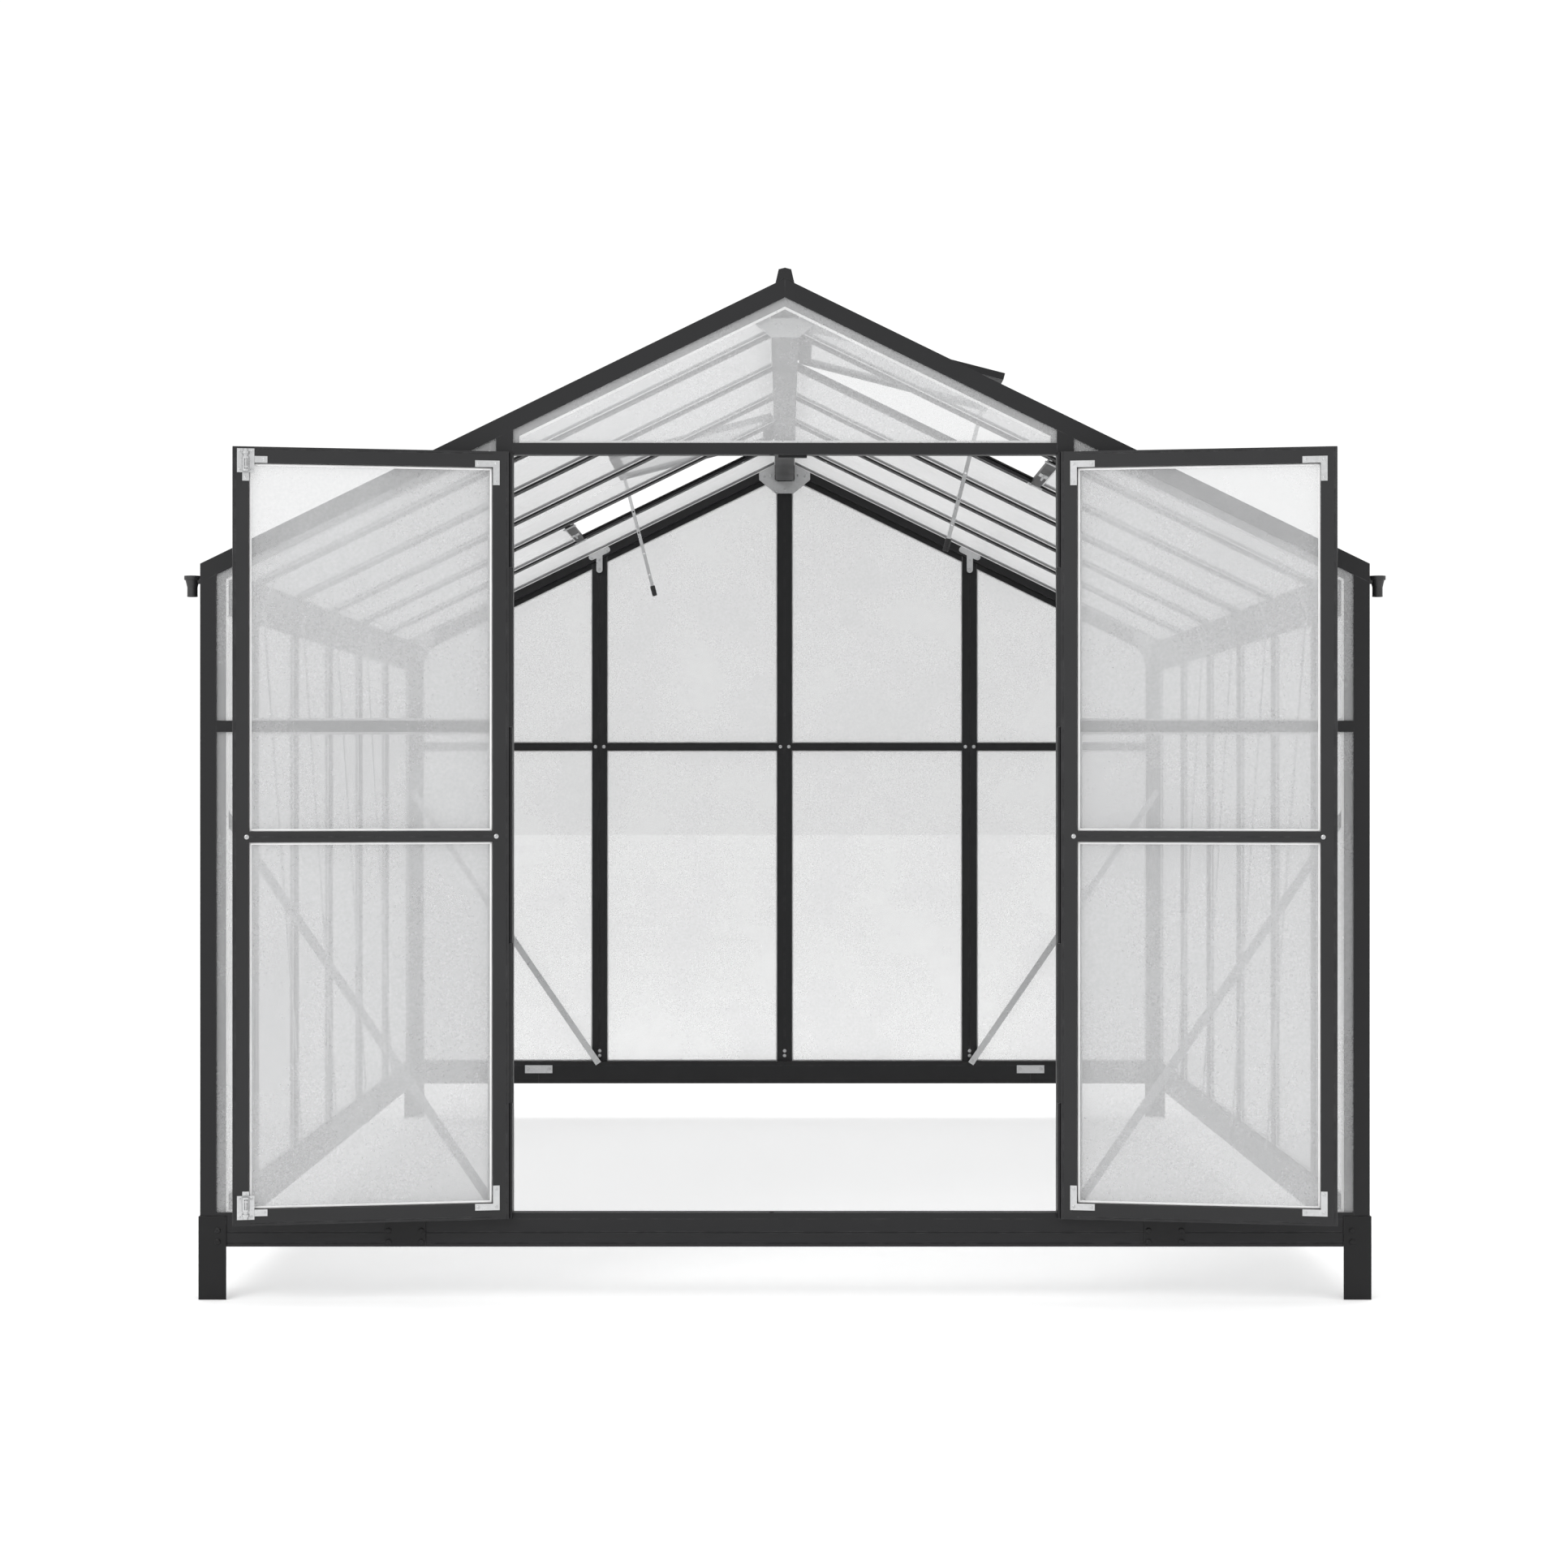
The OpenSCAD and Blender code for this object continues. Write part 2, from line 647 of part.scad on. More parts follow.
module gusset_plates() {
    color(SILVER) {
        rear_wall() for (x = [-bay, bay]) t_plate(x);
        both_ends() ridge_gusset();
        both_ends() both_sides() corner_gusset();
    }
}
// Bolt head on a face at the depth y behind the end wall's outer face
module head_at(x, y, z, r = bolt_r) {
    translate([x, y_front + y + 2.5, z]) rotate([90, 0, 0]) cylinder(r = r, h = 2.5);
}
module frame_bolts() {
    studs = [-bay, 0, bay];
    gable_y = y_front + face_w + 0.3 + brace_t;
    color(SILVER) {
        rear_wall() {
            for (x = studs, s = [-1, 1]) head_at(x + s * 14, stud_d, mid_z + 12);
            for (x = studs, z = [18, 34]) head_at(x, stud_d, wall_z + z);
        }
        both_sides() for (z = [wall_z + 60, mid_z - 30, eave_bottom - 40])
            head_at(-xo + face_w + 8, slot_v + slot_w + lip_t, z);
        both_sides() both_ends() {
            brace_bolt(gable_brace(), false, y_front + face_w, gable_y);
            brace_bolt(gable_brace(), true, y_front + post_d, gable_y);
            for (e = [-1, 1]) head_at(-splice_x + e * 34, post_d + 2, base_z + 47);
        }
        both_sides() left_wall() for (k = [1 : bays - 2]) {
            brace_bolt(side_brace(k), false, 28, post_d + 0.4 + brace_t);
            brace_bolt(side_brace(k), true, post_d, post_d + 0.4 + brace_t);
        }
    }
}

// ---- glazing ----
// Upright panel in an end wall: x range, foot and either a flat or a roof-parallel top
module end_panel(x0, x1, z0, z1) {
    translate([0, y_front + panel_v, 0]) along_y(panel_t)
        polygon([[x0, z0], [x1, z0], [x1, z1], [x0, z1]]);
}
module end_panel_to_roof(x0, x1, z0) {
    n = -gable_w + bite - 1;
    translate([0, y_front + panel_v, 0]) along_y(panel_t)
        polygon([[x0, z0], [x1, z0], [x1, roof_z(abs(x1), n)], [x0, roof_z(abs(x0), n)]]);
}
low_z = wall_z - 5;
mid_low = mid_z + 5;
mid_high = mid_z + mid_h - 5;
post_slot = -xo + face_w - bite + 1;
stud_slot = face_w / 2 - bite + 1;
module glazing_front() {
    x1 = -jamb_in - jamb_w + bite - 1;
    color(CLEAR) both_sides() {
        end_panel(post_slot, x1, low_z, mid_low);
        end_panel_to_roof(post_slot, x1, mid_high);
    }
}
module glazing_gable_front() {
    x1 = jamb_in + bite - 1;
    n = -gable_w + bite - 1;
    z0 = header_z + header_h - 5;
    color(CLEAR) translate([0, y_front + panel_v, 0]) along_y(panel_t)
        polygon([[-x1, z0], [x1, z0], [x1, roof_z(x1, n)], [0, roof_z(0, n)], [-x1, roof_z(x1, n)]]);
}
module glazing_rear() {
    color(CLEAR) rear_wall() both_sides() {
        for (span = [[post_slot, -bay - stud_slot], [-bay + stud_slot, -stud_slot]]) {
            end_panel(span[0], span[1], low_z, mid_low);
            end_panel_to_roof(span[0], span[1], mid_high);
        }
    }
}
module glazing_left() {
    first = y_front + face_w - bite + 1;
    last = y_rear - face_w + bite - 1;
    color(CLEAR) left_wall() for (k = [0 : bays - 1]) {
        y0 = k == 0 ? first : line_y(k) + stud_slot;
        y1 = k == bays - 1 ? last : line_y(k + 1) - stud_slot;
        block([y0, panel_v, low_z], [y1, panel_v + panel_t, eave_bottom + 10]);
    }
}
module glazing_right() { right_side() glazing_left(); }
module roof_panels(vent_bay) {
    n0 = -panel_v - panel_t;
    s_end = (xo - 8) / cos(pitch);
    first = y_front + post_d - bite + 1;
    last = y_rear - post_d + bite - 1;
    color(CLEAR) right_slope() for (k = [0 : bays - 1]) {
        y0 = k == 0 ? first : line_y(k) + stud_slot;
        y1 = k == bays - 1 ? last : line_y(k + 1) - stud_slot;
        vented = k == vent_bay - 1;
        s0 = vented ? opening_len + 11 : rafter_s + 6;
        block([s0, y0, n0], [s_end, y1, n0 + panel_t]);
    }
}
module roof_glazing_right() { roof_panels(vent_bay_right); }
module roof_glazing_left() { right_side() roof_panels(vent_bay_left); }

// ---- doors: a leaf is drawn closed on the left and then opened ----
module leaf_pose() {
    about_hinge(door_open) translate([-hinge_x, y_front - leaf_gap - leaf_t, 0]) children();
}
// Frame member of a leaf: x across, y through the thickness, slot on the far side
module leaf_profile() {
    difference() {
        square([leaf_w, leaf_t]);
        rect([leaf_w - bite, leaf_t / 2 - slot_w / 2], [leaf_w + 1, leaf_t / 2 + slot_w / 2]);
        rect([4, -1], [6, 1]);
        rect([4, leaf_t - 1], [6, leaf_t + 1]);
    }
}
module leaf_frame() {
    inner_x0 = leaf_x0 + leaf_w;
    inner_x1 = leaf_x1 - leaf_w;
    rail_l = inner_x1 - inner_x0;
    h = leaf_z1 - leaf_z0;
    color(CHARCOAL) {
        translate([leaf_x0, 0, leaf_z0]) linear_extrude(h) leaf_profile();
        translate([leaf_x1, 0, leaf_z0]) linear_extrude(h) mirror([1, 0]) leaf_profile();
        translate([inner_x0, 0, leaf_z0]) along_x(rail_l) mirror([1, -1]) leaf_profile();
        translate([inner_x0, 0, leaf_z1]) along_x(rail_l) mirror([0, 1]) mirror([1, -1]) leaf_profile();
        translate([inner_x0, 0, leaf_mid_z]) along_x(rail_l) difference() {
            square([leaf_t, leaf_mid_h]);
            rect([leaf_t / 2 - slot_w / 2, -1], [leaf_t / 2 + slot_w / 2, 6]);
            rect([leaf_t / 2 - slot_w / 2, leaf_mid_h - 6], [leaf_t / 2 + slot_w / 2, leaf_mid_h + 1]);
            rect([leaf_t - 1, leaf_mid_h / 2 - 1], [leaf_t + 1, leaf_mid_h / 2 + 1]);
        }
    }
}
module leaf_glazing() {
    x0 = leaf_x0 + leaf_w - bite + 1;
    x1 = leaf_x1 - leaf_w + bite - 1;
    y0 = leaf_t / 2 - panel_t / 2;
    z_low = leaf_z0 + leaf_w - bite + 1;
    z_top = leaf_z1 - leaf_w + bite - 1;
    color(CLEAR) {
        block([x0, y0, z_low], [x1, y0 + panel_t, leaf_mid_z + 5]);
        block([x0, y0, leaf_mid_z + leaf_mid_h - 5], [x1, y0 + panel_t, z_top]);
    }
}
// L brackets on the inner face, along the inner edges of stiles and rails
module leaf_bracket() {
    arm = 52;
    w = 14;
    difference() {
        union() {
            cube([arm, 2, w]);
            cube([w, 2, arm]);
        }
        for (p = [[arm - 7, w / 2], [w / 2, arm - 7], [w / 2, w / 2]])
            translate([p[0], 3, p[1]]) rotate([90, 0, 0]) cylinder(r = 2, h = 4);
    }
}
module leaf_brackets() {
    inset = leaf_w - 14;
    color(SILVER) for (sx = [0, 1], sz = [0, 1])
        translate([sx == 0 ? leaf_x0 + inset : leaf_x1 - inset, leaf_t,
            sz == 0 ? leaf_z0 + inset : leaf_z1 - inset])
            mirror([sx, 0, 0]) mirror([0, 0, sz]) leaf_bracket();
}
// Pull handle on the outer face of the free stile
module leaf_pull() {
    grip = 120;
    reach = 26;
    x = leaf_x1 - 16;
    z = 1000;
    color(BLACK) {
        for (e = [0, 1]) translate([x, 0, z + e * grip]) rotate([90, 0, 0]) cylinder(r = 5, h = reach);
        translate([x, -reach, z - 5]) cylinder(r = 5, h = grip + 10);
    }
}
module leaf_barrel_set() {
    color(CHARCOAL) about_hinge(door_open) for (z = leaf_barrels()) hinge_barrel(z[0], z[1], false);
}
module door_left_frame() {
    leaf_pose() leaf_frame();
    leaf_barrel_set();
}
module door_left_glazing() { leaf_pose() leaf_glazing(); }
module door_left_brackets() {
    w = bolt_plate[0] / 2 + 0.3;
    h = bolt_plate[1] + 0.3;
    color(SILVER) difference() {
        leaf_pose() leaf_brackets();
        for (top = [true, false]) at_bolt(top) block([-w, leaf_t - 1, -h], [w, leaf_t + 3, 50]);
    }
}
module door_left_pull() { leaf_pose() leaf_pull(); }
module door_right_frame() {
    right_side() {
        leaf_pose() leaf_frame();
        leaf_barrel_set();
    }
}
module door_right_glazing() { right_side() leaf_pose() leaf_glazing(); }
module door_right_brackets() { right_side() leaf_pose() leaf_brackets(); }
module door_right_pull() { right_side() leaf_pose() leaf_pull(); }

// Slide bolt, drawn with its rod pointing up and the plate's upper end at z = 0
module bolt_housing() {
    w = bolt_plate[0];
    h = bolt_plate[1];
    t = bolt_plate[2];
    translate([0, leaf_t, -h]) difference() {
        union() {
            translate([-w / 2, 0, 0]) cube([w, t, h]);
            for (span = [[2, 30], [38, 5]]) translate([0, 0, span[0]]) {
                translate([-8, 0, 0]) cube([16, rod_out, span[1]]);
                translate([0, rod_out, 0]) cylinder(r = 8, h = span[1]);
            }
        }
        translate([0, rod_out, -1]) cylinder(r = rod_r + pin_gap, h = h + 2);
        translate([-knob_r - 0.3, rod_out, 6]) cube([2 * knob_r + 0.6, 20, 22]);
        for (x = [-1, 1], z = [6, h - 6]) translate([x * 13, 3, z]) rotate([90, 0, 0]) cylinder(r = 2, h = 4);
    }
}
module bolt_rod() {
    h = bolt_plate[1];
    translate([0, leaf_t + rod_out, -h]) {
        translate([0, 0, 3]) cylinder(r = rod_r, h = h - 4.5);
        translate([0, 0, 10]) rotate([-90, 0, 0]) cylinder(r = knob_r, h = knob_out);
    }
}
bolt_x = leaf_x1 - bolt_edge;
bolt_top_z = header_z - 1;
bolt_low_z = wall_z + 3;
module at_bolt(top) {
    leaf_pose() translate([bolt_x, 0, top ? bolt_top_z : bolt_low_z]) mirror([0, 0, top ? 0 : 1]) children();
}
module slide_bolt_housings() {
    color(SILVER) for (top = [true, false]) at_bolt(top) bolt_housing();
}
module slide_bolt_top() { color(SILVER) at_bolt(true) bolt_rod(); }
module slide_bolt_bottom() { color(SILVER) at_bolt(false) bolt_rod(); }

// ---- roof vents: drawn closed on the right slope and then opened ----
vent_w = bay + 2 * vent_side;
module vent_pose(n) {
    vent_place(n) translate([vent_hinge_s, 0, vent_hinge_n]) rotate([0, -vent_open, 0])
        translate([-vent_hinge_s, 0, -vent_hinge_n]) children();
}
lug_l = 12;
lug_y = vent_w / 2 - 30;
module vent_lugs() {
    for (s = [-1, 1]) translate([0, s * lug_y - lug_l / 2, 0]) {
        translate([vent_hinge_s, lug_l, vent_hinge_n]) rotate([90, 0, 0]) cylinder(r = barrel_r, h = lug_l);
        translate([15, 0, vent_hinge_n - 3]) cube([vent_hinge_s - 15, lug_l, 6]);
    }
}
module vent_lug_bores() {
    translate([vent_hinge_s, vent_w / 2, vent_hinge_n]) rotate([90, 0, 0])
        cylinder(r = pin_r + pin_gap, h = vent_w);
}
module vent_pin() {
    translate([vent_hinge_s, lug_y + lug_l / 2, vent_hinge_n]) rotate([90, 0, 0])
        cylinder(r = pin_r, h = 2 * lug_y + lug_l);
}
// Vent frame: two side rails, a top rail with the hinge barrel and a bottom rail
module vent_frame() {
    s0 = vent_hinge_s + barrel_r + 1;
    z0 = 1;
    barrel_l = 2 * lug_y - lug_l - 1;
    color(CHARCOAL) {
        for (e = [0, 1]) mirror([0, e, 0]) translate([s0, vent_w / 2, z0]) along_x(vent_len - s0)
            mirror([1, 0]) vent_profile();
        translate([s0, -vent_w / 2 + vent_rail, z0]) along_y(vent_w - 2 * vent_rail) vent_profile();
        translate([vent_len, -vent_w / 2 + vent_rail, z0]) along_y(vent_w - 2 * vent_rail)
            mirror([1, 0]) vent_profile();
        difference() {
            union() {
                translate([vent_hinge_s, barrel_l / 2, vent_hinge_n]) rotate([90, 0, 0])
                    cylinder(r = barrel_r, h = barrel_l);
                translate([vent_hinge_s, -barrel_l / 2, vent_hinge_n + 1]) cube([barrel_r + 1, barrel_l, 3]);
            }
            vent_lug_bores();
        }
    }
}
// Vent rail: x across from its outer edge, y up, slot for the panel on the far side
module vent_profile() {
    difference() {
        square([vent_rail, vent_t]);
        rect([vent_rail - bite, 8 - slot_w / 2], [vent_rail + 1, 8 + slot_w / 2]);
    }
}
module vent_glazing() {
    s0 = vent_hinge_s + barrel_r + 1 + vent_rail - bite + 1;
    s1 = vent_len - vent_rail + bite - 1;
    y1 = vent_w / 2 - vent_rail + bite - 1;
    color(CLEAR) block([s0, -y1, 1 + 8 - panel_t / 2], [s1, y1, 1 + 8 + panel_t / 2]);
}
// Perforated flat stay with a grip, hung from a pin under the vent's bottom rail
stay_s = vent_len - 22;
module vent_stay() {
    holes = 4;
    bar = stay_len - grip_l + grip_bite;
    color(SILVER) translate([stay_s, 0, -stay_drop]) difference() {
        union() {
            translate([-5, -1.5, -bar]) cube([10, 3, bar]);
            translate([0, 1.5, 0]) rotate([90, 0, 0]) cylinder(r = 5, h = 3);
        }
        translate([0, 3, 0]) rotate([90, 0, 0]) cylinder(r = pin_r + pin_gap, h = 6);
        for (i = [1 : holes]) translate([0, 3, -55 - 65 * i]) rotate([90, 0, 0]) cylinder(r = 2.7, h = 6);
    }
}
module stay_grip() {
    color(BLACK) translate([stay_s, 0, -stay_drop - stay_len]) difference() {
        cylinder(r = 7, h = grip_l);
        translate([-5.1, -1.6, grip_l - grip_bite]) cube([10.2, 3.2, grip_bite + 1]);
    }
}
// Clevis and pin that carry the stay
module stay_clevis() {
    translate([stay_s, 0, 0]) color(CHARCOAL) {
        for (e = [-1, 1]) translate([0, e * 4 - 1, 0]) {
            translate([-6, 0, -stay_drop]) cube([12, 2, stay_drop + 1]);
            translate([0, 2, -stay_drop]) rotate([90, 0, 0]) cylinder(r = 6, h = 2);
        }
        translate([0, 5, -stay_drop]) rotate([90, 0, 0]) cylinder(r = pin_r, h = 10);
    }
}
module vent_frame_set(n) {
    vent_pose(n) {
        vent_frame();
        stay_clevis();
    }
}
module vent_right_frame() { vent_frame_set(vent_bay_right); }
module vent_right_glazing() { vent_pose(vent_bay_right) vent_glazing(); }
module vent_right_stay() { vent_pose(vent_bay_right) vent_stay(); }
module vent_right_grip() { vent_pose(vent_bay_right) stay_grip(); }
module vent_left_frame() { right_side() vent_frame_set(vent_bay_left); }
module vent_left_glazing() { right_side() vent_pose(vent_bay_left) vent_glazing(); }
module vent_left_stay() { right_side() vent_pose(vent_bay_left) vent_stay(); }
module vent_left_grip() { right_side() vent_pose(vent_bay_left) stay_grip(); }

corner_stakes();
base_rail_front();
base_rail_rear();
base_rail_left();
base_rail_right();
base_splice_plates();
base_joint_plates();
base_bolts();
corner_posts();
door_jambs();
door_header();
door_stop_plate();
wall_sills();
front_mid_rails();
rear_mid_rails();
rear_studs();
side_studs_left();
side_studs_right();
eave_beam_left();
eave_beam_right();
gutter_outlets();
ridge_beam();
ridge_end_caps();
gable_rafters_front();
gable_rafters_rear();
rafters_left();
rafters_right();
vent_crossbars();
stay_holders();
gable_braces();
side_braces();
gusset_plates();
frame_bolts();
glazing_front();
glazing_gable_front();
glazing_rear();
glazing_left();
glazing_right();
roof_glazing_left();
roof_glazing_right();
hinge_pins();
door_left_frame();
door_left_glazing();
door_left_brackets();
door_left_pull();
slide_bolt_housings();
slide_bolt_top();
slide_bolt_bottom();
door_right_frame();
door_right_glazing();
door_right_brackets();
door_right_pull();
vent_left_frame();
vent_left_glazing();
vent_left_stay();
vent_left_grip();
vent_right_frame();
vent_right_glazing();
vent_right_stay();
vent_right_grip();
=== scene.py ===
"""Looks of the walk-in greenhouse: finishes for its frame, and the small fittings that go on it."""

import json
import math

import bmesh
import bpy
import numpy as np
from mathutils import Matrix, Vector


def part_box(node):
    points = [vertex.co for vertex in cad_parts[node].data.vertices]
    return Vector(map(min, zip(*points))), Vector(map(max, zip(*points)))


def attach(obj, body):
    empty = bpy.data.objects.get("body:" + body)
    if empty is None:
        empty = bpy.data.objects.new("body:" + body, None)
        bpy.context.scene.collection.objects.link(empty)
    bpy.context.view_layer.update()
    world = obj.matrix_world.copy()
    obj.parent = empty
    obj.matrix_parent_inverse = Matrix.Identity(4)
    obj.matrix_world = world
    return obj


bl_info = {
    "name": "Walk-in greenhouse",
    "version": (1, 0, 0),
    "blender": (4, 5, 0),
    "location": "View3D > Sidebar > Greenhouse",
    "description": "Finishes, fixings and glazing beads of a polycarbonate greenhouse",
    "category": "Object",
}

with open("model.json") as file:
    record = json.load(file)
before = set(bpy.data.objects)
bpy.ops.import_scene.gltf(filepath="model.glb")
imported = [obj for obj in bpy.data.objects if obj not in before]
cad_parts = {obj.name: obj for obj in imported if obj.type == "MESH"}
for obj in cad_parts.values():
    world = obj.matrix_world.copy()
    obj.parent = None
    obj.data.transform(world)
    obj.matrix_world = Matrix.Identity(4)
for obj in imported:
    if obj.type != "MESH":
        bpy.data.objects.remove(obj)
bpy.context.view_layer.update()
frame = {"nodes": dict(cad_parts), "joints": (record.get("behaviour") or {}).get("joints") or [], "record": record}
JOINTS = {joint["name"]: joint for joint in frame["joints"]}
X, Y, Z = np.eye(3)


# ---------------------------------------------------------------- properties


class GreenhouseFinishes(bpy.types.PropertyGroup):
    """Colours and gloss of the materials"""

    frame_colour: bpy.props.FloatVectorProperty(
        name="Frame", description="Powder coat of rails, posts and rafters",
        subtype="COLOR", size=3, default=(0.011, 0.011, 0.012), min=0, max=1)
    # Painted light: the doors have the frame's black powder coat, and this lighter colour stands in for the light
    # falling on the leaves that face the camera.
    door_painted_light_colour: bpy.props.FloatVectorProperty(
        name="Doors", description="Powder coat of the door leaves",
        subtype="COLOR", size=3, default=(0.020, 0.020, 0.021), min=0, max=1)
    steel_colour: bpy.props.FloatVectorProperty(
        name="Base steel", description="Paint of the stakes, splice plates and bolts",
        subtype="COLOR", size=3, default=(0.004, 0.004, 0.0045), min=0, max=1)
    zinc_colour: bpy.props.FloatVectorProperty(
        name="Zinc", description="Plating of brackets, braces and slide bolts",
        subtype="COLOR", size=3, default=(0.55, 0.555, 0.56), min=0, max=1)
    sheet_colour: bpy.props.FloatVectorProperty(
        name="Sheet", description="Tint of the polycarbonate",
        subtype="COLOR", size=3, default=(0.60, 0.605, 0.61), min=0, max=1)
    sheet_cover: bpy.props.FloatProperty(
        name="Sheet cover", description="Share of the light that one face of the sheet scatters",
        subtype="FACTOR", default=0.34, min=0, max=1)
    bead_colour: bpy.props.FloatVectorProperty(
        name="Beads", description="Colour of the glazing beads",
        subtype="COLOR", size=3, default=(0.86, 0.86, 0.86), min=0, max=1)
    powder_roughness: bpy.props.FloatProperty(
        name="Powder roughness", description="Roughness of the powder coat",
        subtype="FACTOR", default=0.46, min=0, max=1)


class GreenhouseSizes(bpy.types.PropertyGroup):
    """Sizes of the fittings"""

    dome_radius: bpy.props.FloatProperty(
        name="Base bolt dome", description="Radius of the domed heads on the base",
        unit="LENGTH", default=0.0068, min=0.003, max=0.02)
    nut_radius: bpy.props.FloatProperty(
        name="Frame screw", description="Radius of the pan heads inside the frame",
        unit="LENGTH", default=0.0058, min=0.003, max=0.02)
    screw_radius: bpy.props.FloatProperty(
        name="Bracket screw", description="Radius of the screws in the door brackets",
        unit="LENGTH", default=0.0036, min=0.002, max=0.01)
    bead_width: bpy.props.FloatProperty(
        name="Bead width", description="Width of the glazing beads",
        unit="LENGTH", default=0.0055, min=0.003, max=0.02)
    bead_height: bpy.props.FloatProperty(
        name="Bead height", description="How far the beads stand off the sheet",
        unit="LENGTH", default=0.0025, min=0.001, max=0.01)
    bracket_arm: bpy.props.FloatProperty(
        name="Bracket arm", description="Length of the door brackets' arms",
        unit="LENGTH", default=0.052, min=0.03, max=0.1)
    bracket_width: bpy.props.FloatProperty(
        name="Bracket width", description="Width of the door brackets' arms",
        unit="LENGTH", default=0.014, min=0.008, max=0.03)
    bracket_inset: bpy.props.FloatProperty(
        name="Bracket inset", description="Distance of the brackets from the leaf's edges",
        unit="LENGTH", default=0.020, min=0.0, max=0.03)
    strap_width: bpy.props.FloatProperty(
        name="Eave strap width", description="Width of the straps between rafters and eaves",
        unit="LENGTH", default=0.018, min=0.005, max=0.03)
    strap_thickness: bpy.props.FloatProperty(
        name="Eave strap thickness", description="Thickness of the straps between rafters and eaves",
        unit="LENGTH", default=0.0022, min=0.001, max=0.005)


class GreenhouseStage(bpy.types.PropertyGroup):
    """Camera, lights and floor"""

    camera_distance: bpy.props.FloatProperty(
        name="Camera distance", description="From the camera to the front wall",
        unit="LENGTH", default=6.77, min=1, max=50)
    camera_height: bpy.props.FloatProperty(
        name="Camera height", description="Height of the camera, which looks level",
        unit="LENGTH", default=1.099, min=0.1, max=5)
    lens: bpy.props.FloatProperty(
        name="Lens", description="Focal length on a 36 mm wide sensor, in millimetres",
        default=72.9, min=20, max=200)
    surround: bpy.props.FloatProperty(
        name="Surround", description="Brightness of the white surround", default=1.05, min=0, max=5)
    floor_glow: bpy.props.FloatProperty(
        name="Floor glow", description="Light that the floor adds, to stay white under the sheets",
        default=0.2, min=0, max=1)


# ---------------------------------------------------------------- surfaces


def weave(points, close_u=False, close_v=False):
    """Joins a grid of points, rows along u and columns along v, by quads; a closed way also joins
    its last row or column to its first."""
    rows, columns = points.shape[:2]
    u = np.arange(rows if close_u else rows - 1)
    v = np.arange(columns if close_v else columns - 1)
    u, v = np.meshgrid(u, v, indexing="ij")
    up, across = (u + 1) % rows, (v + 1) % columns
    quads = np.stack([u * columns + v, up * columns + v, up * columns + across, u * columns + across], -1)
    return points.reshape(-1, 3), quads.reshape(-1, 4)


def build(name, patches, material, body, sharp=35.0):
    """One piece from (points, quads) patches: doubles are merged, faces turned outwards, and edges
    over the angle sharp, in degrees, left hard."""
    offsets = np.cumsum([0] + [len(points) for points, _ in patches[:-1]])
    points = np.concatenate([points for points, _ in patches])
    quads = np.concatenate([quads + start for (_, quads), start in zip(patches, offsets)])
    mesh = bpy.data.meshes.new(name)
    mesh.from_pydata(points.tolist(), [], quads.tolist())
    work = bmesh.new()
    work.from_mesh(mesh)
    bmesh.ops.remove_doubles(work, verts=work.verts, dist=2e-6)
    bmesh.ops.dissolve_degenerate(work, edges=work.edges, dist=1e-7)
    bmesh.ops.recalc_face_normals(work, faces=work.faces)
    work.to_mesh(mesh)
    work.free()
    mesh.polygons.foreach_set("use_smooth", np.ones(len(mesh.polygons), bool))
    mesh.set_sharp_from_angle(angle=math.radians(sharp))
    mesh.materials.append(material)
    piece = bpy.data.objects.new(name, mesh)
    bpy.context.scene.collection.objects.link(piece)
    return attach(piece, body)


def axes_for(direction):
    """Two unit vectors square to a direction and to each other."""
    w = np.asarray(direction, float)
    w = w / np.linalg.norm(w)
    other = X if abs(w[0]) < 0.7 else Y
    u = np.cross(other, w)
    u = u / np.linalg.norm(u)
    return u, np.cross(w, u), w


def placed(local, centre, direction, spin=0.0):
    """Local points with z along direction and the origin at centre, turned by spin about it."""
    u, v, w = axes_for(direction)
    c, s = math.cos(spin), math.sin(spin)
    x, y, z = local[..., 0], local[..., 1], local[..., 2]
    x, y = x * c - y * s, x * s + y * c
    return np.asarray(centre) + x[..., None] * u + y[..., None] * v + z[..., None] * w


def head(radius, height, recess=0.0, around=28, sink=0.0006):
    """Screw head: a turned profile whose height falls with the 2.4th power of the radius, a flank
    down to the seat, and a cross recess where either |x| or |y| is under a sixth of the radius."""
    r = np.array([0, 0.14, 0.3, 0.45, 0.58, 0.74, 0.88, 0.97, 1.0, 1.0, 0.0]) * radius
    z = height * (0.42 + 0.58 * (1 - (r / radius) ** 2.4))
    z[-3] = height * 0.28
    z[-2:] = -sink
    angle = np.linspace(0, 2 * math.pi, around, endpoint=False)
    r, angle = np.meshgrid(r, angle, indexing="ij")
    x, y = r * np.cos(angle), r * np.sin(angle)
    z = np.repeat(z[:, None], around, axis=1)
    if recess:
        arm, width = 0.62 * radius, 0.16 * radius
        slot = (np.minimum(abs(x), abs(y)) < width) & (np.maximum(abs(x), abs(y)) < arm)
        slot[-3:] = False
        z = z - recess * slot
    return np.stack([x, y, z], -1)


def heads(places, radius, height, recess=0.0, around=28):
    """Patches for one head at each (centre, direction), each turned differently."""
    shape = head(radius, height, recess, around)
    return [weave(placed(shape, centre, direction, spin=1.3 * i), close_v=True)
            for i, (centre, direction) in enumerate(places)]


def ring(centre, way, radius, thick, around=32, steps=10):
    """Ring: a circle of radius thick carried round one of the given radius."""
    turn, roll = np.meshgrid(np.linspace(0, 2 * math.pi, around, endpoint=False),
                             np.linspace(0, 2 * math.pi, steps, endpoint=False), indexing="ij")
    r = radius + thick * np.cos(roll)
    shape = np.stack([r * np.cos(turn), r * np.sin(turn), thick * np.sin(roll)], -1)
    return weave(placed(shape, centre, way), close_u=True, close_v=True)


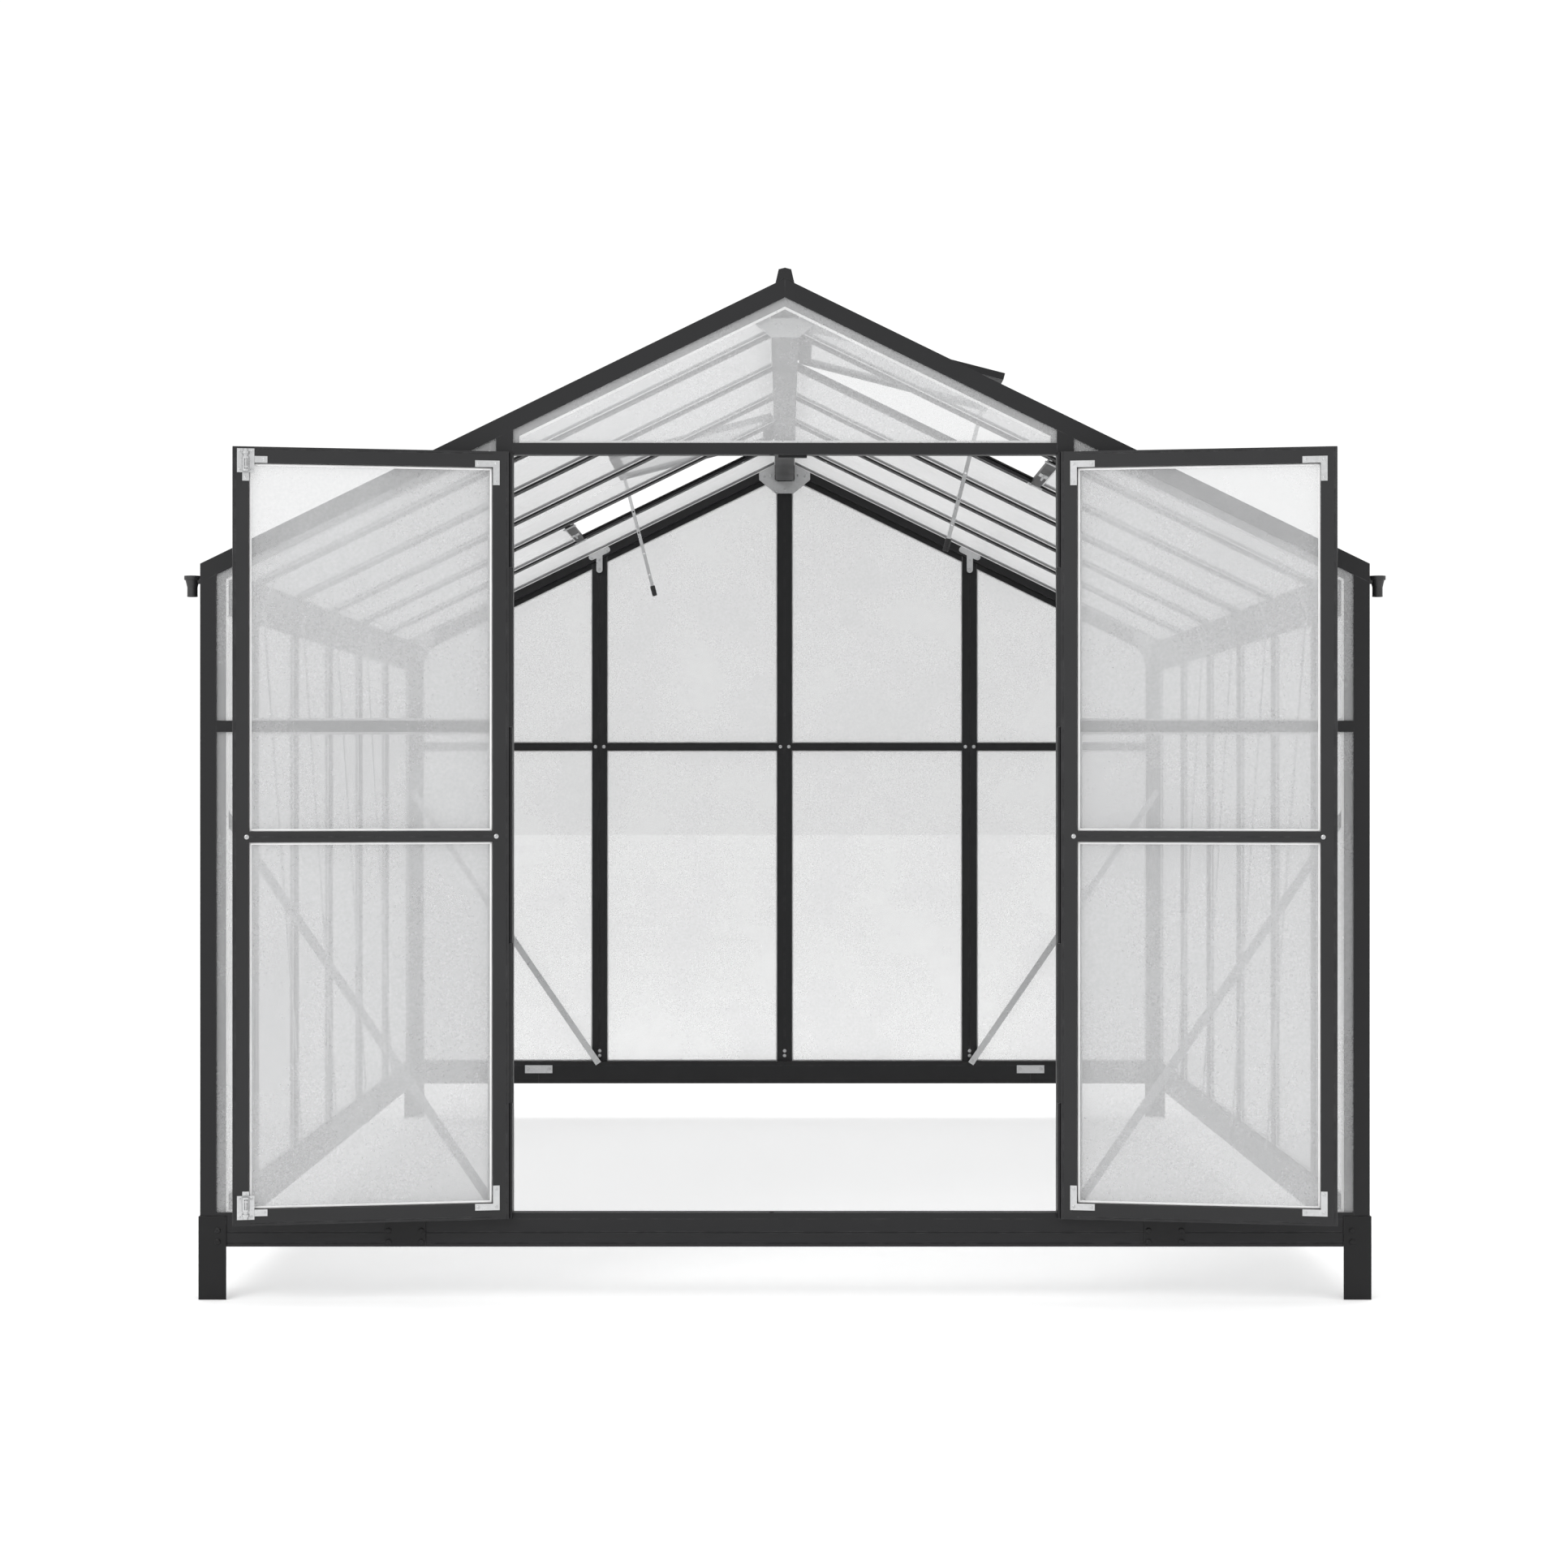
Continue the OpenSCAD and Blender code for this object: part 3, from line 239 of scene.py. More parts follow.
def sweep(path, side, profile):
    """Closed profile carried along an open path: its first coordinate goes along side, which is
    one vector for the whole path, and its second square to side and to the path. Ends are closed."""
    path = np.asarray(path, float)
    tangent = np.gradient(path, axis=0)
    tangent /= np.linalg.norm(tangent, axis=1)[:, None]
    up = np.cross(tangent, side)
    rows = path[:, None] + profile[None, :, :1] * side + profile[None, :, 1:] * up[:, None]
    first, last = np.repeat(path[:1, None], len(profile), 1), np.repeat(path[-1:, None], len(profile), 1)
    return weave(np.concatenate([first, rows, last]), close_v=True)


def mitred_loop(corners, normal, profile):
    """Closed profile carried round a flat polygon with mitred corners: its first coordinate goes
    into the polygon and its second along normal."""
    corners = np.asarray(corners, float)
    ahead = np.roll(corners, -1, axis=0) - corners
    ahead /= np.linalg.norm(ahead, axis=1)[:, None]
    inward = np.cross(normal, ahead)
    middle = corners.mean(axis=0)
    inward *= np.sign(np.sum((middle - corners) * inward, axis=1).mean())
    before = np.roll(inward, 1, axis=0)
    mitre = (before + inward) / (1 + np.sum(before * inward, axis=1))[:, None]
    rows = corners[:, None] + profile[None, :, :1] * mitre[:, None] + profile[None, :, 1:] * normal
    return weave(rows, close_u=True, close_v=True)


def rounded_bar(width, thickness, steps=4):
    """Outline of a flat bar: a rectangle whose corners are quarter circles of 0.45 thickness."""
    r = 0.45 * thickness
    quarter = np.linspace(0, math.pi / 2, steps)
    corners = [(1, 1, 0), (-1, 1, 1), (-1, -1, 2), (1, -1, 3)]
    points = [np.stack([sx * (width / 2 - r) + r * np.cos(quarter + turn * math.pi / 2),
                        sy * (thickness / 2 - r) + r * np.sin(quarter + turn * math.pi / 2)], -1)
              for sx, sy, turn in corners]
    return np.concatenate(points)


def bead_profile(width, height, steps=9):
    """Half ellipse on a flat back, for a strip that lies on a sheet."""
    angle = np.linspace(0, math.pi, steps)
    return np.stack([width / 2 + width / 2 * np.cos(angle), height * np.sin(angle) - 0.0001], -1)


def solids(node):
    """Boxes (low, high) of the separate solids of a CAD node."""
    work = bmesh.new()
    work.from_mesh(frame["nodes"][node].data)
    bmesh.ops.remove_doubles(work, verts=work.verts, dist=1e-6)
    unseen, boxes = set(work.verts), []
    while unseen:
        todo, found = [unseen.pop()], []
        while todo:
            vert = todo.pop()
            found.append(vert.co[:])
            near = {edge.other_vert(vert) for edge in vert.link_edges} & unseen
            unseen -= near
            todo += near
        found = np.array(found)
        boxes.append((found.min(0), found.max(0)))
    work.free()
    return sorted(boxes, key=lambda box: tuple(box[0].round(4)))


# ---------------------------------------------------------------- materials


def group(name, inputs, outputs):
    """Empty node group with named number inputs (name, default) and outputs (name, socket type)."""
    tree = bpy.data.node_groups.new(name, "ShaderNodeTree")
    for label, value in inputs:
        socket = tree.interface.new_socket(name=label, in_out="INPUT", socket_type="NodeSocketFloat")
        socket.default_value = value
    for label, kind in outputs:
        tree.interface.new_socket(name=label, in_out="OUTPUT", socket_type=kind)
    return tree, tree.nodes.new("NodeGroupInput"), tree.nodes.new("NodeGroupOutput")


def noise(tree, scale, detail=3.0, roughness=0.5):
    """Noise on object coordinates; scale is a number or a socket."""
    place = tree.nodes.new("ShaderNodeTexCoord")
    node = tree.nodes.new("ShaderNodeTexNoise")
    node.inputs["Detail"].default_value = detail
    node.inputs["Roughness"].default_value = roughness
    tree.links.new(place.outputs["Object"], node.inputs["Vector"])
    if isinstance(scale, (int, float)):
        node.inputs["Scale"].default_value = scale
    else:
        tree.links.new(scale, node.inputs["Scale"])
    return node.outputs["Fac"]


def spread(tree, value, low, high, to_low=0.0, to_high=1.0):
    """Maps value from low..high to to_low..to_high and clamps it; ends are numbers or sockets."""
    node = tree.nodes.new("ShaderNodeMapRange")
    node.clamp = True
    tree.links.new(value, node.inputs["Value"])
    for label, end in (("From Min", low), ("From Max", high), ("To Min", to_low), ("To Max", to_high)):
        if isinstance(end, (int, float)):
            node.inputs[label].default_value = end
        else:
            tree.links.new(end, node.inputs[label])
    return node.outputs["Result"]


def sum_of(tree, operation, a, b):
    """Math node of two numbers or sockets."""
    node = tree.nodes.new("ShaderNodeMath")
    node.operation = operation
    for socket, value in zip(node.inputs, (a, b)):
        if isinstance(value, (int, float)):
            socket.default_value = value
        else:
            tree.links.new(value, socket)
    return node.outputs["Value"]


def blend_colour(tree, share, a, b):
    """Mix of two colours, each a tuple or a socket."""
    node = tree.nodes.new("ShaderNodeMix")
    node.data_type = "RGBA"
    tree.links.new(share, node.inputs["Factor"])
    colours = [s for s in node.inputs if s.type == "RGBA"]
    for socket, value in zip(colours, (a, b)):
        if isinstance(value, (tuple, list)):
            socket.default_value = (*value[:3], 1)
        else:
            tree.links.new(value, socket)
    return [s for s in node.outputs if s.type == "RGBA"][0]


def edge_wear_group():
    """Mask of convex and concave edges: how far a rounded normal leans from the true one, broken
    up by noise."""
    tree, given, out = group("Edge wear", [("Radius", 0.002), ("Breakup", 40.0)],
                             [("Mask", "NodeSocketFloat")])
    bevel = tree.nodes.new("ShaderNodeBevel")
    bevel.samples = 2
    tree.links.new(given.outputs["Radius"], bevel.inputs["Radius"])
    true = tree.nodes.new("ShaderNodeNewGeometry")
    dot = tree.nodes.new("ShaderNodeVectorMath")
    dot.operation = "DOT_PRODUCT"
    tree.links.new(bevel.outputs["Normal"], dot.inputs[0])
    tree.links.new(true.outputs["Normal"], dot.inputs[1])
    lean = spread(tree, dot.outputs["Value"], 0.99, 0.80)
    patchy = spread(tree, noise(tree, given.outputs["Breakup"], 5.0, 0.65), 0.42, 0.62)
    tree.links.new(sum_of(tree, "MULTIPLY", lean, patchy), out.inputs["Mask"])
    return tree


def grain_group():
    """Fine even grain for bump and a slower drift for roughness, both from 0 to 1."""
    tree, given, out = group("Grain", [("Fine", 900.0), ("Slow", 6.0)],
                             [("Height", "NodeSocketFloat"), ("Drift", "NodeSocketFloat")])
    tree.links.new(noise(tree, given.outputs["Fine"], 2.0), out.inputs["Height"])
    drift = spread(tree, noise(tree, given.outputs["Slow"], 4.0, 0.6), 0.3, 0.7)
    tree.links.new(drift, out.inputs["Drift"])
    return tree


def dust_group():
    """Mask of dust on faces that look up, thicker in patches."""
    tree, given, out = group("Dust", [("Patch", 9.0), ("Amount", 0.5)], [("Mask", "NodeSocketFloat")])
    true = tree.nodes.new("ShaderNodeNewGeometry")
    parts = tree.nodes.new("ShaderNodeSeparateXYZ")
    tree.links.new(true.outputs["Normal"], parts.inputs["Vector"])
    upward = spread(tree, parts.outputs["Z"], 0.35, 0.95)
    patchy = spread(tree, noise(tree, given.outputs["Patch"], 6.0, 0.7), 0.35, 0.75)
    layer = sum_of(tree, "MULTIPLY", upward, patchy)
    tree.links.new(sum_of(tree, "MULTIPLY", layer, given.outputs["Amount"]), out.inputs["Mask"])
    return tree


def emboss_group():
    """Embossed sheet: close cells of a hammered pattern as height, and cloudy patches of more and
    less frosting."""
    tree, given, out = group("Embossed sheet", [("Cell", 260.0), ("Cloud", 3.5)],
                             [("Height", "NodeSocketFloat"), ("Cloud", "NodeSocketFloat"),
                              ("Speck", "NodeSocketFloat")])
    place = tree.nodes.new("ShaderNodeTexCoord")
    cells = tree.nodes.new("ShaderNodeTexVoronoi")
    cells.feature = "SMOOTH_F1"
    tree.links.new(place.outputs["Object"], cells.inputs["Vector"])
    tree.links.new(given.outputs["Cell"], cells.inputs["Scale"])
    tree.links.new(cells.outputs["Distance"], out.inputs["Height"])
    cloud = spread(tree, noise(tree, given.outputs["Cloud"], 5.0, 0.62), 0.32, 0.7)
    tree.links.new(cloud, out.inputs["Cloud"])
    speck = spread(tree, noise(tree, 140.0, 2.0, 0.5), 0.35, 0.75)
    tree.links.new(speck, out.inputs["Speck"])
    return tree


def new_material(name):
    """Material with a Principled shader on its output; returns its tree and the shader."""
    material = bpy.data.materials.new(name)
    material.use_nodes = True
    return material, material.node_tree, material.node_tree.nodes["Principled BSDF"]


def placed_group(tree, kind, **values):
    """Instance of a node group in a material, with its inputs set by name."""
    node = tree.nodes.new("ShaderNodeGroup")
    node.node_tree = kind
    for label, value in values.items():
        node.inputs[label].default_value = value
    return node


def bump(tree, shader, height, distance, strength=1.0):
    """Bump from a height socket into the shader's normal."""
    node = tree.nodes.new("ShaderNodeBump")
    node.inputs["Strength"].default_value = strength
    node.inputs["Distance"].default_value = distance
    tree.links.new(height, node.inputs["Height"])
    tree.links.new(node.outputs["Normal"], shader.inputs["Normal"])


def powder_coat(name, colour, roughness, groups, worn=(0.16, 0.16, 0.165), dusty=0.35):
    """Coated metal: fine orange peel, rubbed edges, and dust on what looks up."""
    material, tree, shader = new_material(name)
    grain = placed_group(tree, groups["grain"], Fine=750.0, Slow=4.0)
    wear = placed_group(tree, groups["wear"], Radius=0.0012, Breakup=35.0)
    dust = placed_group(tree, groups["dust"], Patch=7.0, Amount=dusty)
    rubbed = sum_of(tree, "MULTIPLY", wear.outputs["Mask"], 0.55)
    deeper = tuple(0.78 * c for c in colour)
    drifted = blend_colour(tree, grain.outputs["Drift"], deeper, colour)
    edged = blend_colour(tree, rubbed, drifted, worn)
    coated = blend_colour(tree, dust.outputs["Mask"], edged, (0.10, 0.098, 0.094))
    tree.links.new(coated, shader.inputs["Base Color"])
    rough = spread(tree, grain.outputs["Drift"], 0.0, 1.0, roughness - 0.06, roughness + 0.07)
    dulled = sum_of(tree, "MULTIPLY", dust.outputs["Mask"], 0.3)
    tree.links.new(sum_of(tree, "ADD", rough, dulled), shader.inputs["Roughness"])
    shader.inputs["Specular IOR Level"].default_value = 0.28
    bump(tree, shader, grain.outputs["Height"], 0.00012, 0.6)
    return material


def zinc_plate(name, colour, groups):
    """Bright plated steel: cloudy spangle in colour and gloss, greyer along rubbed edges."""
    material, tree, shader = new_material(name)
    grain = placed_group(tree, groups["grain"], Fine=420.0, Slow=28.0)
    wear = placed_group(tree, groups["wear"], Radius=0.0009, Breakup=90.0)
    place = tree.nodes.new("ShaderNodeTexCoord")
    spangle = tree.nodes.new("ShaderNodeTexVoronoi")
    spangle.inputs["Scale"].default_value = 170.0
    tree.links.new(place.outputs["Object"], spangle.inputs["Vector"])
    shade = spread(tree, spangle.outputs["Color"], 0.0, 1.0, 0.0, 0.5)
    clouded = blend_colour(tree, shade, colour, tuple(0.78 * c for c in colour))
    rubbed = sum_of(tree, "MULTIPLY", wear.outputs["Mask"], 0.5)
    edged = blend_colour(tree, rubbed, clouded, (0.30, 0.30, 0.31))
    tree.links.new(edged, shader.inputs["Base Color"])
    shader.inputs["Metallic"].default_value = 0.85
    tree.links.new(spread(tree, grain.outputs["Drift"], 0.0, 1.0, 0.24, 0.40), shader.inputs["Roughness"])
    bump(tree, shader, grain.outputs["Height"], 0.00008, 0.5)
    return material


def polycarbonate(name, colour, cover, groups):
    """Frosted sheet: each face scatters part of the light and lets the rest through, with cloudy
    patches, small specks and a hammered skin."""
    material, tree, shader = new_material(name)
    skin = placed_group(tree, groups["emboss"], Cell=260.0, Cloud=2.6)
    dust = placed_group(tree, groups["dust"], Patch=4.0, Amount=0.10)
    clouded = blend_colour(tree, skin.outputs["Cloud"], tuple(0.94 * c for c in colour), colour)
    speck = sum_of(tree, "MULTIPLY", skin.outputs["Speck"], 0.12)
    specked = blend_colour(tree, speck, clouded, (0.97, 0.97, 0.97))
    dusted = blend_colour(tree, dust.outputs["Mask"], specked, (0.70, 0.69, 0.66))
    tree.links.new(dusted, shader.inputs["Base Color"])
    veil = spread(tree, skin.outputs["Cloud"], 0.0, 1.0, cover - 0.035, cover + 0.035)
    veil = sum_of(tree, "ADD", veil, sum_of(tree, "MULTIPLY", skin.outputs["Speck"], 0.02))
    veil = sum_of(tree, "ADD", veil, sum_of(tree, "MULTIPLY", dust.outputs["Mask"], 0.4))
    tree.links.new(veil, shader.inputs["Alpha"])
    tree.links.new(spread(tree, skin.outputs["Cloud"], 0.0, 1.0, 0.30, 0.40), shader.inputs["Roughness"])
    shader.inputs["IOR"].default_value = 1.58
    bump(tree, shader, skin.outputs["Height"], 0.00012, 0.35)
    return material


def moulded_plastic(name, colour, roughness, groups):
    """Moulded plastic: matt skin with fine grain and slightly polished edges."""
    material, tree, shader = new_material(name)
    grain = placed_group(tree, groups["grain"], Fine=1400.0, Slow=12.0)
    wear = placed_group(tree, groups["wear"], Radius=0.0008, Breakup=60.0)
    dust = placed_group(tree, groups["dust"], Patch=14.0, Amount=0.3)
    drifted = blend_colour(tree, grain.outputs["Drift"], tuple(0.85 * c for c in colour), colour)
    lighter = tuple(min(1.0, 1.5 * c + 0.02) for c in colour)
    edged = blend_colour(tree, sum_of(tree, "MULTIPLY", wear.outputs["Mask"], 0.4), drifted, lighter)
    dusted = blend_colour(tree, dust.outputs["Mask"], edged, (0.30, 0.29, 0.28))
    tree.links.new(dusted, shader.inputs["Base Color"])
    rough = spread(tree, grain.outputs["Drift"], 0.0, 1.0, roughness - 0.05, roughness + 0.06)
    tree.links.new(rough, shader.inputs["Roughness"])
    bump(tree, shader, grain.outputs["Height"], 0.0001, 0.6)
    return material


def finishes():
    """The materials by name, made once."""
    made = {m.name: m for m in bpy.data.materials if m.name.startswith("Finish ")}
    if made:
        return made
    look = bpy.context.scene.greenhouse_finishes
    groups = {"wear": edge_wear_group(), "grain": grain_group(), "dust": dust_group(),
              "emboss": emboss_group()}
    rough = look.powder_roughness
    made = [
        powder_coat("Finish frame coat", tuple(look.frame_colour), rough, groups),
        # Painted light: the door coat is the frame's powder coat, made lighter for the light on the leaves that
        # face the camera.
        powder_coat("Finish door coat", tuple(look.door_painted_light_colour), rough, groups),
        powder_coat("Finish base paint", tuple(look.steel_colour), rough - 0.06, groups),
        zinc_plate("Finish zinc", tuple(look.zinc_colour), groups),
        polycarbonate("Finish sheet", tuple(look.sheet_colour), look.sheet_cover, groups),
        moulded_plastic("Finish black plastic", (0.016, 0.016, 0.017), 0.48, groups),
        moulded_plastic("Finish bead", tuple(look.bead_colour), 0.42, groups),
    ]
    return {material.name: material for material in made}


# ---------------------------------------------------------------- places


def roof_height(x, n=0.0):
    """Height of a line parallel to the roof, n above its top face, at the distance x from the middle."""
    return ROOF_APEX - np.abs(x) * math.tan(PITCH) + n / math.cos(PITCH)


class Leaf:
    """A door leaf as it stands open: local x from the hinge line across the leaf, local y through
    it towards its inner face, both measured from the hinge axis."""

    def __init__(self, side):
        joint = JOINTS[f"door_{side}_hinge"]
        turn = math.radians(joint["range_deg"][1])
        self.body, self.side = f"door_{side}", side
        self.mirror = -1 if side == "right" else 1
        self.origin = np.array(joint["pos_m"], float)
        self.along = np.array([self.mirror * math.cos(turn), -math.sin(turn), 0])
        self.out = np.array([self.mirror * math.sin(turn), math.cos(turn), 0])
        low, high = (np.array(corner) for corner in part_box(f"{self.body}_frame"))
        self.z0, self.z1 = low[2], high[2]

    def at(self, x, y, z):
        return self.origin * (1, 1, 0) + x * self.along + y * self.out + z * Z


LEAF_X0, LEAF_X1 = 0.0045, 0.583  # edges of a leaf from its hinge line
LEAF_HALF = 0.0125  # half the thickness of a leaf
LEAF_RAIL = 0.034  # face width of the leaf's frame


class FinishFrame(bpy.types.Operator):
    """Gives every part of the frame its coat, plating or sheet"""

    bl_idname = "greenhouse.finish_frame"
    bl_label = "Finish the frame"

    def execute(self, context):
        made = finishes()
        # The door leaves get the frame's coat with its colour painted lighter, for the light that falls on them.
        by_slot = {"black_frame": "Finish frame coat", "door_frame": "Finish door coat",
                   "black_steel": "Finish base paint", "hardware": "Finish zinc",
                   "polycarbonate": "Finish sheet", "black_plastic": "Finish black plastic"}
        for part in frame["record"]["subparts"]:
            node = frame["nodes"][part["node"]]
            node.material_slots[0].material = made[by_slot[part["material_slot"]]]
        return {"FINISHED"}


def thin_way(low, high):
    """The axis along which a box is thinnest, as a unit vector."""
    return np.eye(3)[int(np.argmin(np.round(high - low, 5)))]


class BaseBolts(bpy.types.Operator):
    """Domed heads over the bolts of the stakes and base splices"""

    bl_idname = "greenhouse.base_bolts"
    bl_label = "Base bolts"

    def execute(self, context):
        sizes = context.scene.greenhouse_sizes
        places = []
        for low, high in solids("base_bolts"):
            middle, way = (low + high) / 2, thin_way(low, high)
            way = way * np.sign(middle @ way)
            depth = abs((high - low) @ way)
            places.append((middle - way * depth / 2, way))
        patches = heads(places, sizes.dome_radius, depth, 0.0, 24)
        build("base_bolt_domes", patches, finishes()["Finish base paint"], "frame", 50)
        return {"FINISHED"}


class FrameScrews(bpy.types.Operator):
    """Pan heads with cross recesses over the bolts inside the frame and on its plates"""

    bl_idname = "greenhouse.frame_screws"
    bl_label = "Frame screws"

    def execute(self, context):
        sizes = context.scene.greenhouse_sizes
        places = []
        for low, high in solids("frame_bolts"):
            middle, way = (low + high) / 2, thin_way(low, high)
            way = -way * np.sign(middle @ way)
            face = middle + way * (abs((high - low) @ way) / 2 - 0.0018)
            places.append((face, way))
        zinc = finishes()["Finish zinc"]
        patches = heads(places, sizes.nut_radius, 0.0032, 0.0009)
        build("frame_screw_heads", patches, zinc, "frame", 40)
        places = []
        for low, high in solids("gusset_plates"):
            inward = -Y * np.sign((low + high)[1])
            face = (high if inward[1] > 0 else low)[1]
            middle_x, wide, tall = (low[0] + high[0]) / 2, high[0] - low[0], high[2] - low[2]
            if wide > 0.15:
                spots = [(s * 0.068, high[2] - 0.040) for s in (-1, 1)]
                spots += [(s * 0.045, high[2] - 0.036) for s in (-1, 1)] + [(0, low[2] + 0.012)]
            elif abs(middle_x) < 0.9:
                spots = [(middle_x, low[2] + 0.012), (middle_x, low[2] + 0.040)]
                lean = -np.sign(middle_x) * math.tan(math.radians(26))
                spots += [(middle_x + s * 0.026, high[2] - 0.0265 + s * 0.026 * lean) for s in (-1, 1)]
            else:
                out = np.sign(middle_x) * max(abs(low[0]), abs(high[0]))
                side = np.sign(out)
                spots = [(out - side * 0.011, low[2] + 0.012), (out - side * 0.011, low[2] + 0.034)]
                spots += [(out - side * 0.048, high[2] - 0.024)]
            places += [(np.array([x, face, z]), inward) for x, z in spots]
        patches = heads(places, sizes.nut_radius * 0.8, 0.0026, 0.0008)
        build("plate_screw_heads", patches, zinc, "frame", 40)
        return {"FINISHED"}


class DoorScrews(bpy.types.Operator):
    """Screws of the leaf brackets, mid rails and slide bolts"""

    bl_idname = "greenhouse.door_screws"
    bl_label = "Door screws"

    def execute(self, context):
        sizes = context.scene.greenhouse_sizes
        zinc = finishes()["Finish zinc"]
        arm, width, inset = sizes.bracket_arm, sizes.bracket_width, sizes.bracket_inset
        for side in ("left", "right"):
            leaf = Leaf(side)
            places = []
            for x_edge, x_way in ((LEAF_X0, 1), (LEAF_X1, -1)):
                for z_edge, z_way in ((leaf.z0, 1), (leaf.z1, -1)):
                    x, z = x_edge + x_way * inset, z_edge + z_way * inset
                    spots = [(arm - 0.007, width / 2), (width / 2, arm - 0.007), (width / 2, width / 2)]
                    if side == "left" and x_way < 0:
                        spots.pop()
                    for a, b in spots:
                        places.append((leaf.at(x + x_way * a, LEAF_HALF + 0.002, z + z_way * b), leaf.out))
            patches = heads(places, sizes.screw_radius, 0.0018, 0.0006, 20)
            build(f"door_{side}_bracket_screws", patches, zinc, leaf.body, 40)
            rail_z = 0.988
            ends = (LEAF_X0 + 0.027, LEAF_X1 - 0.029)
            places = [(leaf.at(x, LEAF_HALF, rail_z), leaf.out) for x in ends]
            patches = heads(places, 0.0050, 0.0024, 0.0008)
            build(f"door_{side}_rail_screws", patches, zinc, leaf.body, 40)
        leaf = Leaf("left")
        places = []
        for low, high in solids("slide_bolt_housings"):
            for dx in (-0.013, 0.013):
                for z in (low[2] + 0.006, high[2] - 0.006):
                    places.append((leaf.at(LEAF_X1 - 0.027 + dx, LEAF_HALF + 0.002, z), leaf.out))
        patches = heads(places, 0.0031, 0.0015, 0.0005, 20)
        build("slide_bolt_screws", patches, zinc, "door_left", 40)
        return {"FINISHED"}


class GlazingBeads(bpy.types.Operator):
    """White beads that hold the sheets in the frame, along the inner edges of every opening"""

    bl_idname = "greenhouse.glazing_beads"
    bl_label = "Glazing beads"

    def execute(self, context):
        sizes = context.scene.greenhouse_sizes
        profile = bead_profile(sizes.bead_width, sizes.bead_height)
        bead = finishes()["Finish bead"]
        self.walls(profile, bead)
        self.doors(profile, bead)
        self.roof(profile, bead)
        return {"FINISHED"}

    def walls(self, profile, bead):
        """Beads on the inner faces of the side and end walls."""
        flange = [(low[0], high[0]) for low, high in solids("rear_studs")]
        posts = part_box("corner_posts")
        lip = 0.054
        inner = posts[1].x - lip
        mid_low, mid_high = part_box("rear_mid_rails")[0].z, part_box("rear_mid_rails")[1].z
        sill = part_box("wall_sills")[1].z
        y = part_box("glazing_rear")[0].y

        def top(x):
            return float(roof_height(x, -0.053))

        edges = [-inner] + [x for pair in flange for x in pair] + [inner]
        loops = []
        for x0, x1 in zip(edges[::2], edges[1::2]):
            loops.append(([(x0, sill), (x1, sill), (x1, mid_low), (x0, mid_low)], y, -Y))
            loops.append(([(x0, mid_high), (x1, mid_high), (x1, top(x1)), (x0, top(x0))], y, -Y))
        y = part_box("glazing_front")[1].y
        jamb = 0.629
        for s in (-1, 1):
            x0, x1 = s * inner, s * jamb
            loops.append(([(x0, sill), (x1, sill), (x1, mid_low), (x0, mid_low)], y, Y))
            loops.append(([(x0, mid_high), (x1, mid_high), (x1, top(x1)), (x0, top(x0))], y, Y))
        head_z, x1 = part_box("door_header")[1].z, 0.567
        gable = [(-x1, head_z), (x1, head_z), (x1, top(x1)), (0, top(0)), (-x1, top(x1))]
        loops.append((gable, y, Y))
        patches = [mitred_loop([(x, at, z) for x, z in ring], way, profile) for ring, at, way in loops]
        build("end_wall_beads", patches, bead, "frame")
        patches = []
        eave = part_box("eave_beam_left")[0].z
        studs = [(low[1], high[1]) for low, high in solids("side_studs_left")]
        edges = [posts[0].y + lip] + [y for pair in studs for y in pair] + [posts[1].y - lip]
        for node, way in (("glazing_left", X), ("glazing_right", -X)):
            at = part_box(node)[1].x if way[0] > 0 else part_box(node)[0].x
            for y0, y1 in zip(edges[::2], edges[1::2]):
                ring = [(at, y0, sill), (at, y1, sill), (at, y1, eave), (at, y0, eave)]
                patches.append(mitred_loop(ring, way, profile))
        build("side_wall_beads", patches, bead, "frame")

    def doors(self, profile, bead):
        """Beads on both faces of the door sheets."""
        for side in ("left", "right"):
            leaf = Leaf(side)
            x0, x1 = LEAF_X0 + LEAF_RAIL, LEAF_X1 - LEAF_RAIL
            patches = []
            for z0, z1 in ((leaf.z0 + LEAF_RAIL, 0.977), (0.999, leaf.z1 - LEAF_RAIL)):
                for face in (-1, 1):
                    ring = [leaf.at(x, face * 0.002, z) for x, z in ((x0, z0), (x1, z0), (x1, z1), (x0, z1))]
                    patches.append(mitred_loop(ring, face * leaf.out, profile))
            build(f"door_{side}_beads", patches, bead, leaf.body)

    def roof(self, profile, bead):
        """Beads under the roof sheets, beside the rafters."""
        down = np.array([math.cos(PITCH), 0, -math.sin(PITCH)])
        out = np.array([math.sin(PITCH), 0, math.cos(PITCH)])
        for side, mirror in (("left", -1), ("right", 1)):
            flip = np.array([mirror, 1, 1])
            rafters = [(low[1], high[1]) for low, high in solids(f"rafters_{side}")]
            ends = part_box("gable_rafters_front")[1].y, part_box("gable_rafters_rear")[0].y
            edges = [ends[0]] + [y for pair in rafters for y in pair] + [ends[1]]
            vent = {"left": 4, "right": 1}[side]
            patches = []
            for bay, (y0, y1) in enumerate(zip(edges[::2], edges[1::2])):
                s0 = 0.7225 if bay == vent else 0.036
                s1 = 1.352
                base = np.array([0, 0, ROOF_APEX]) - out * 0.0085
                ring = [(base + s * down) * flip + y * Y for s, y in ((s0, y0), (s1, y0), (s1, y1), (s0, y1))]
                patches.append(mitred_loop(ring, -out * flip, profile))
            build(f"roof_{side}_beads", patches, bead, "frame")


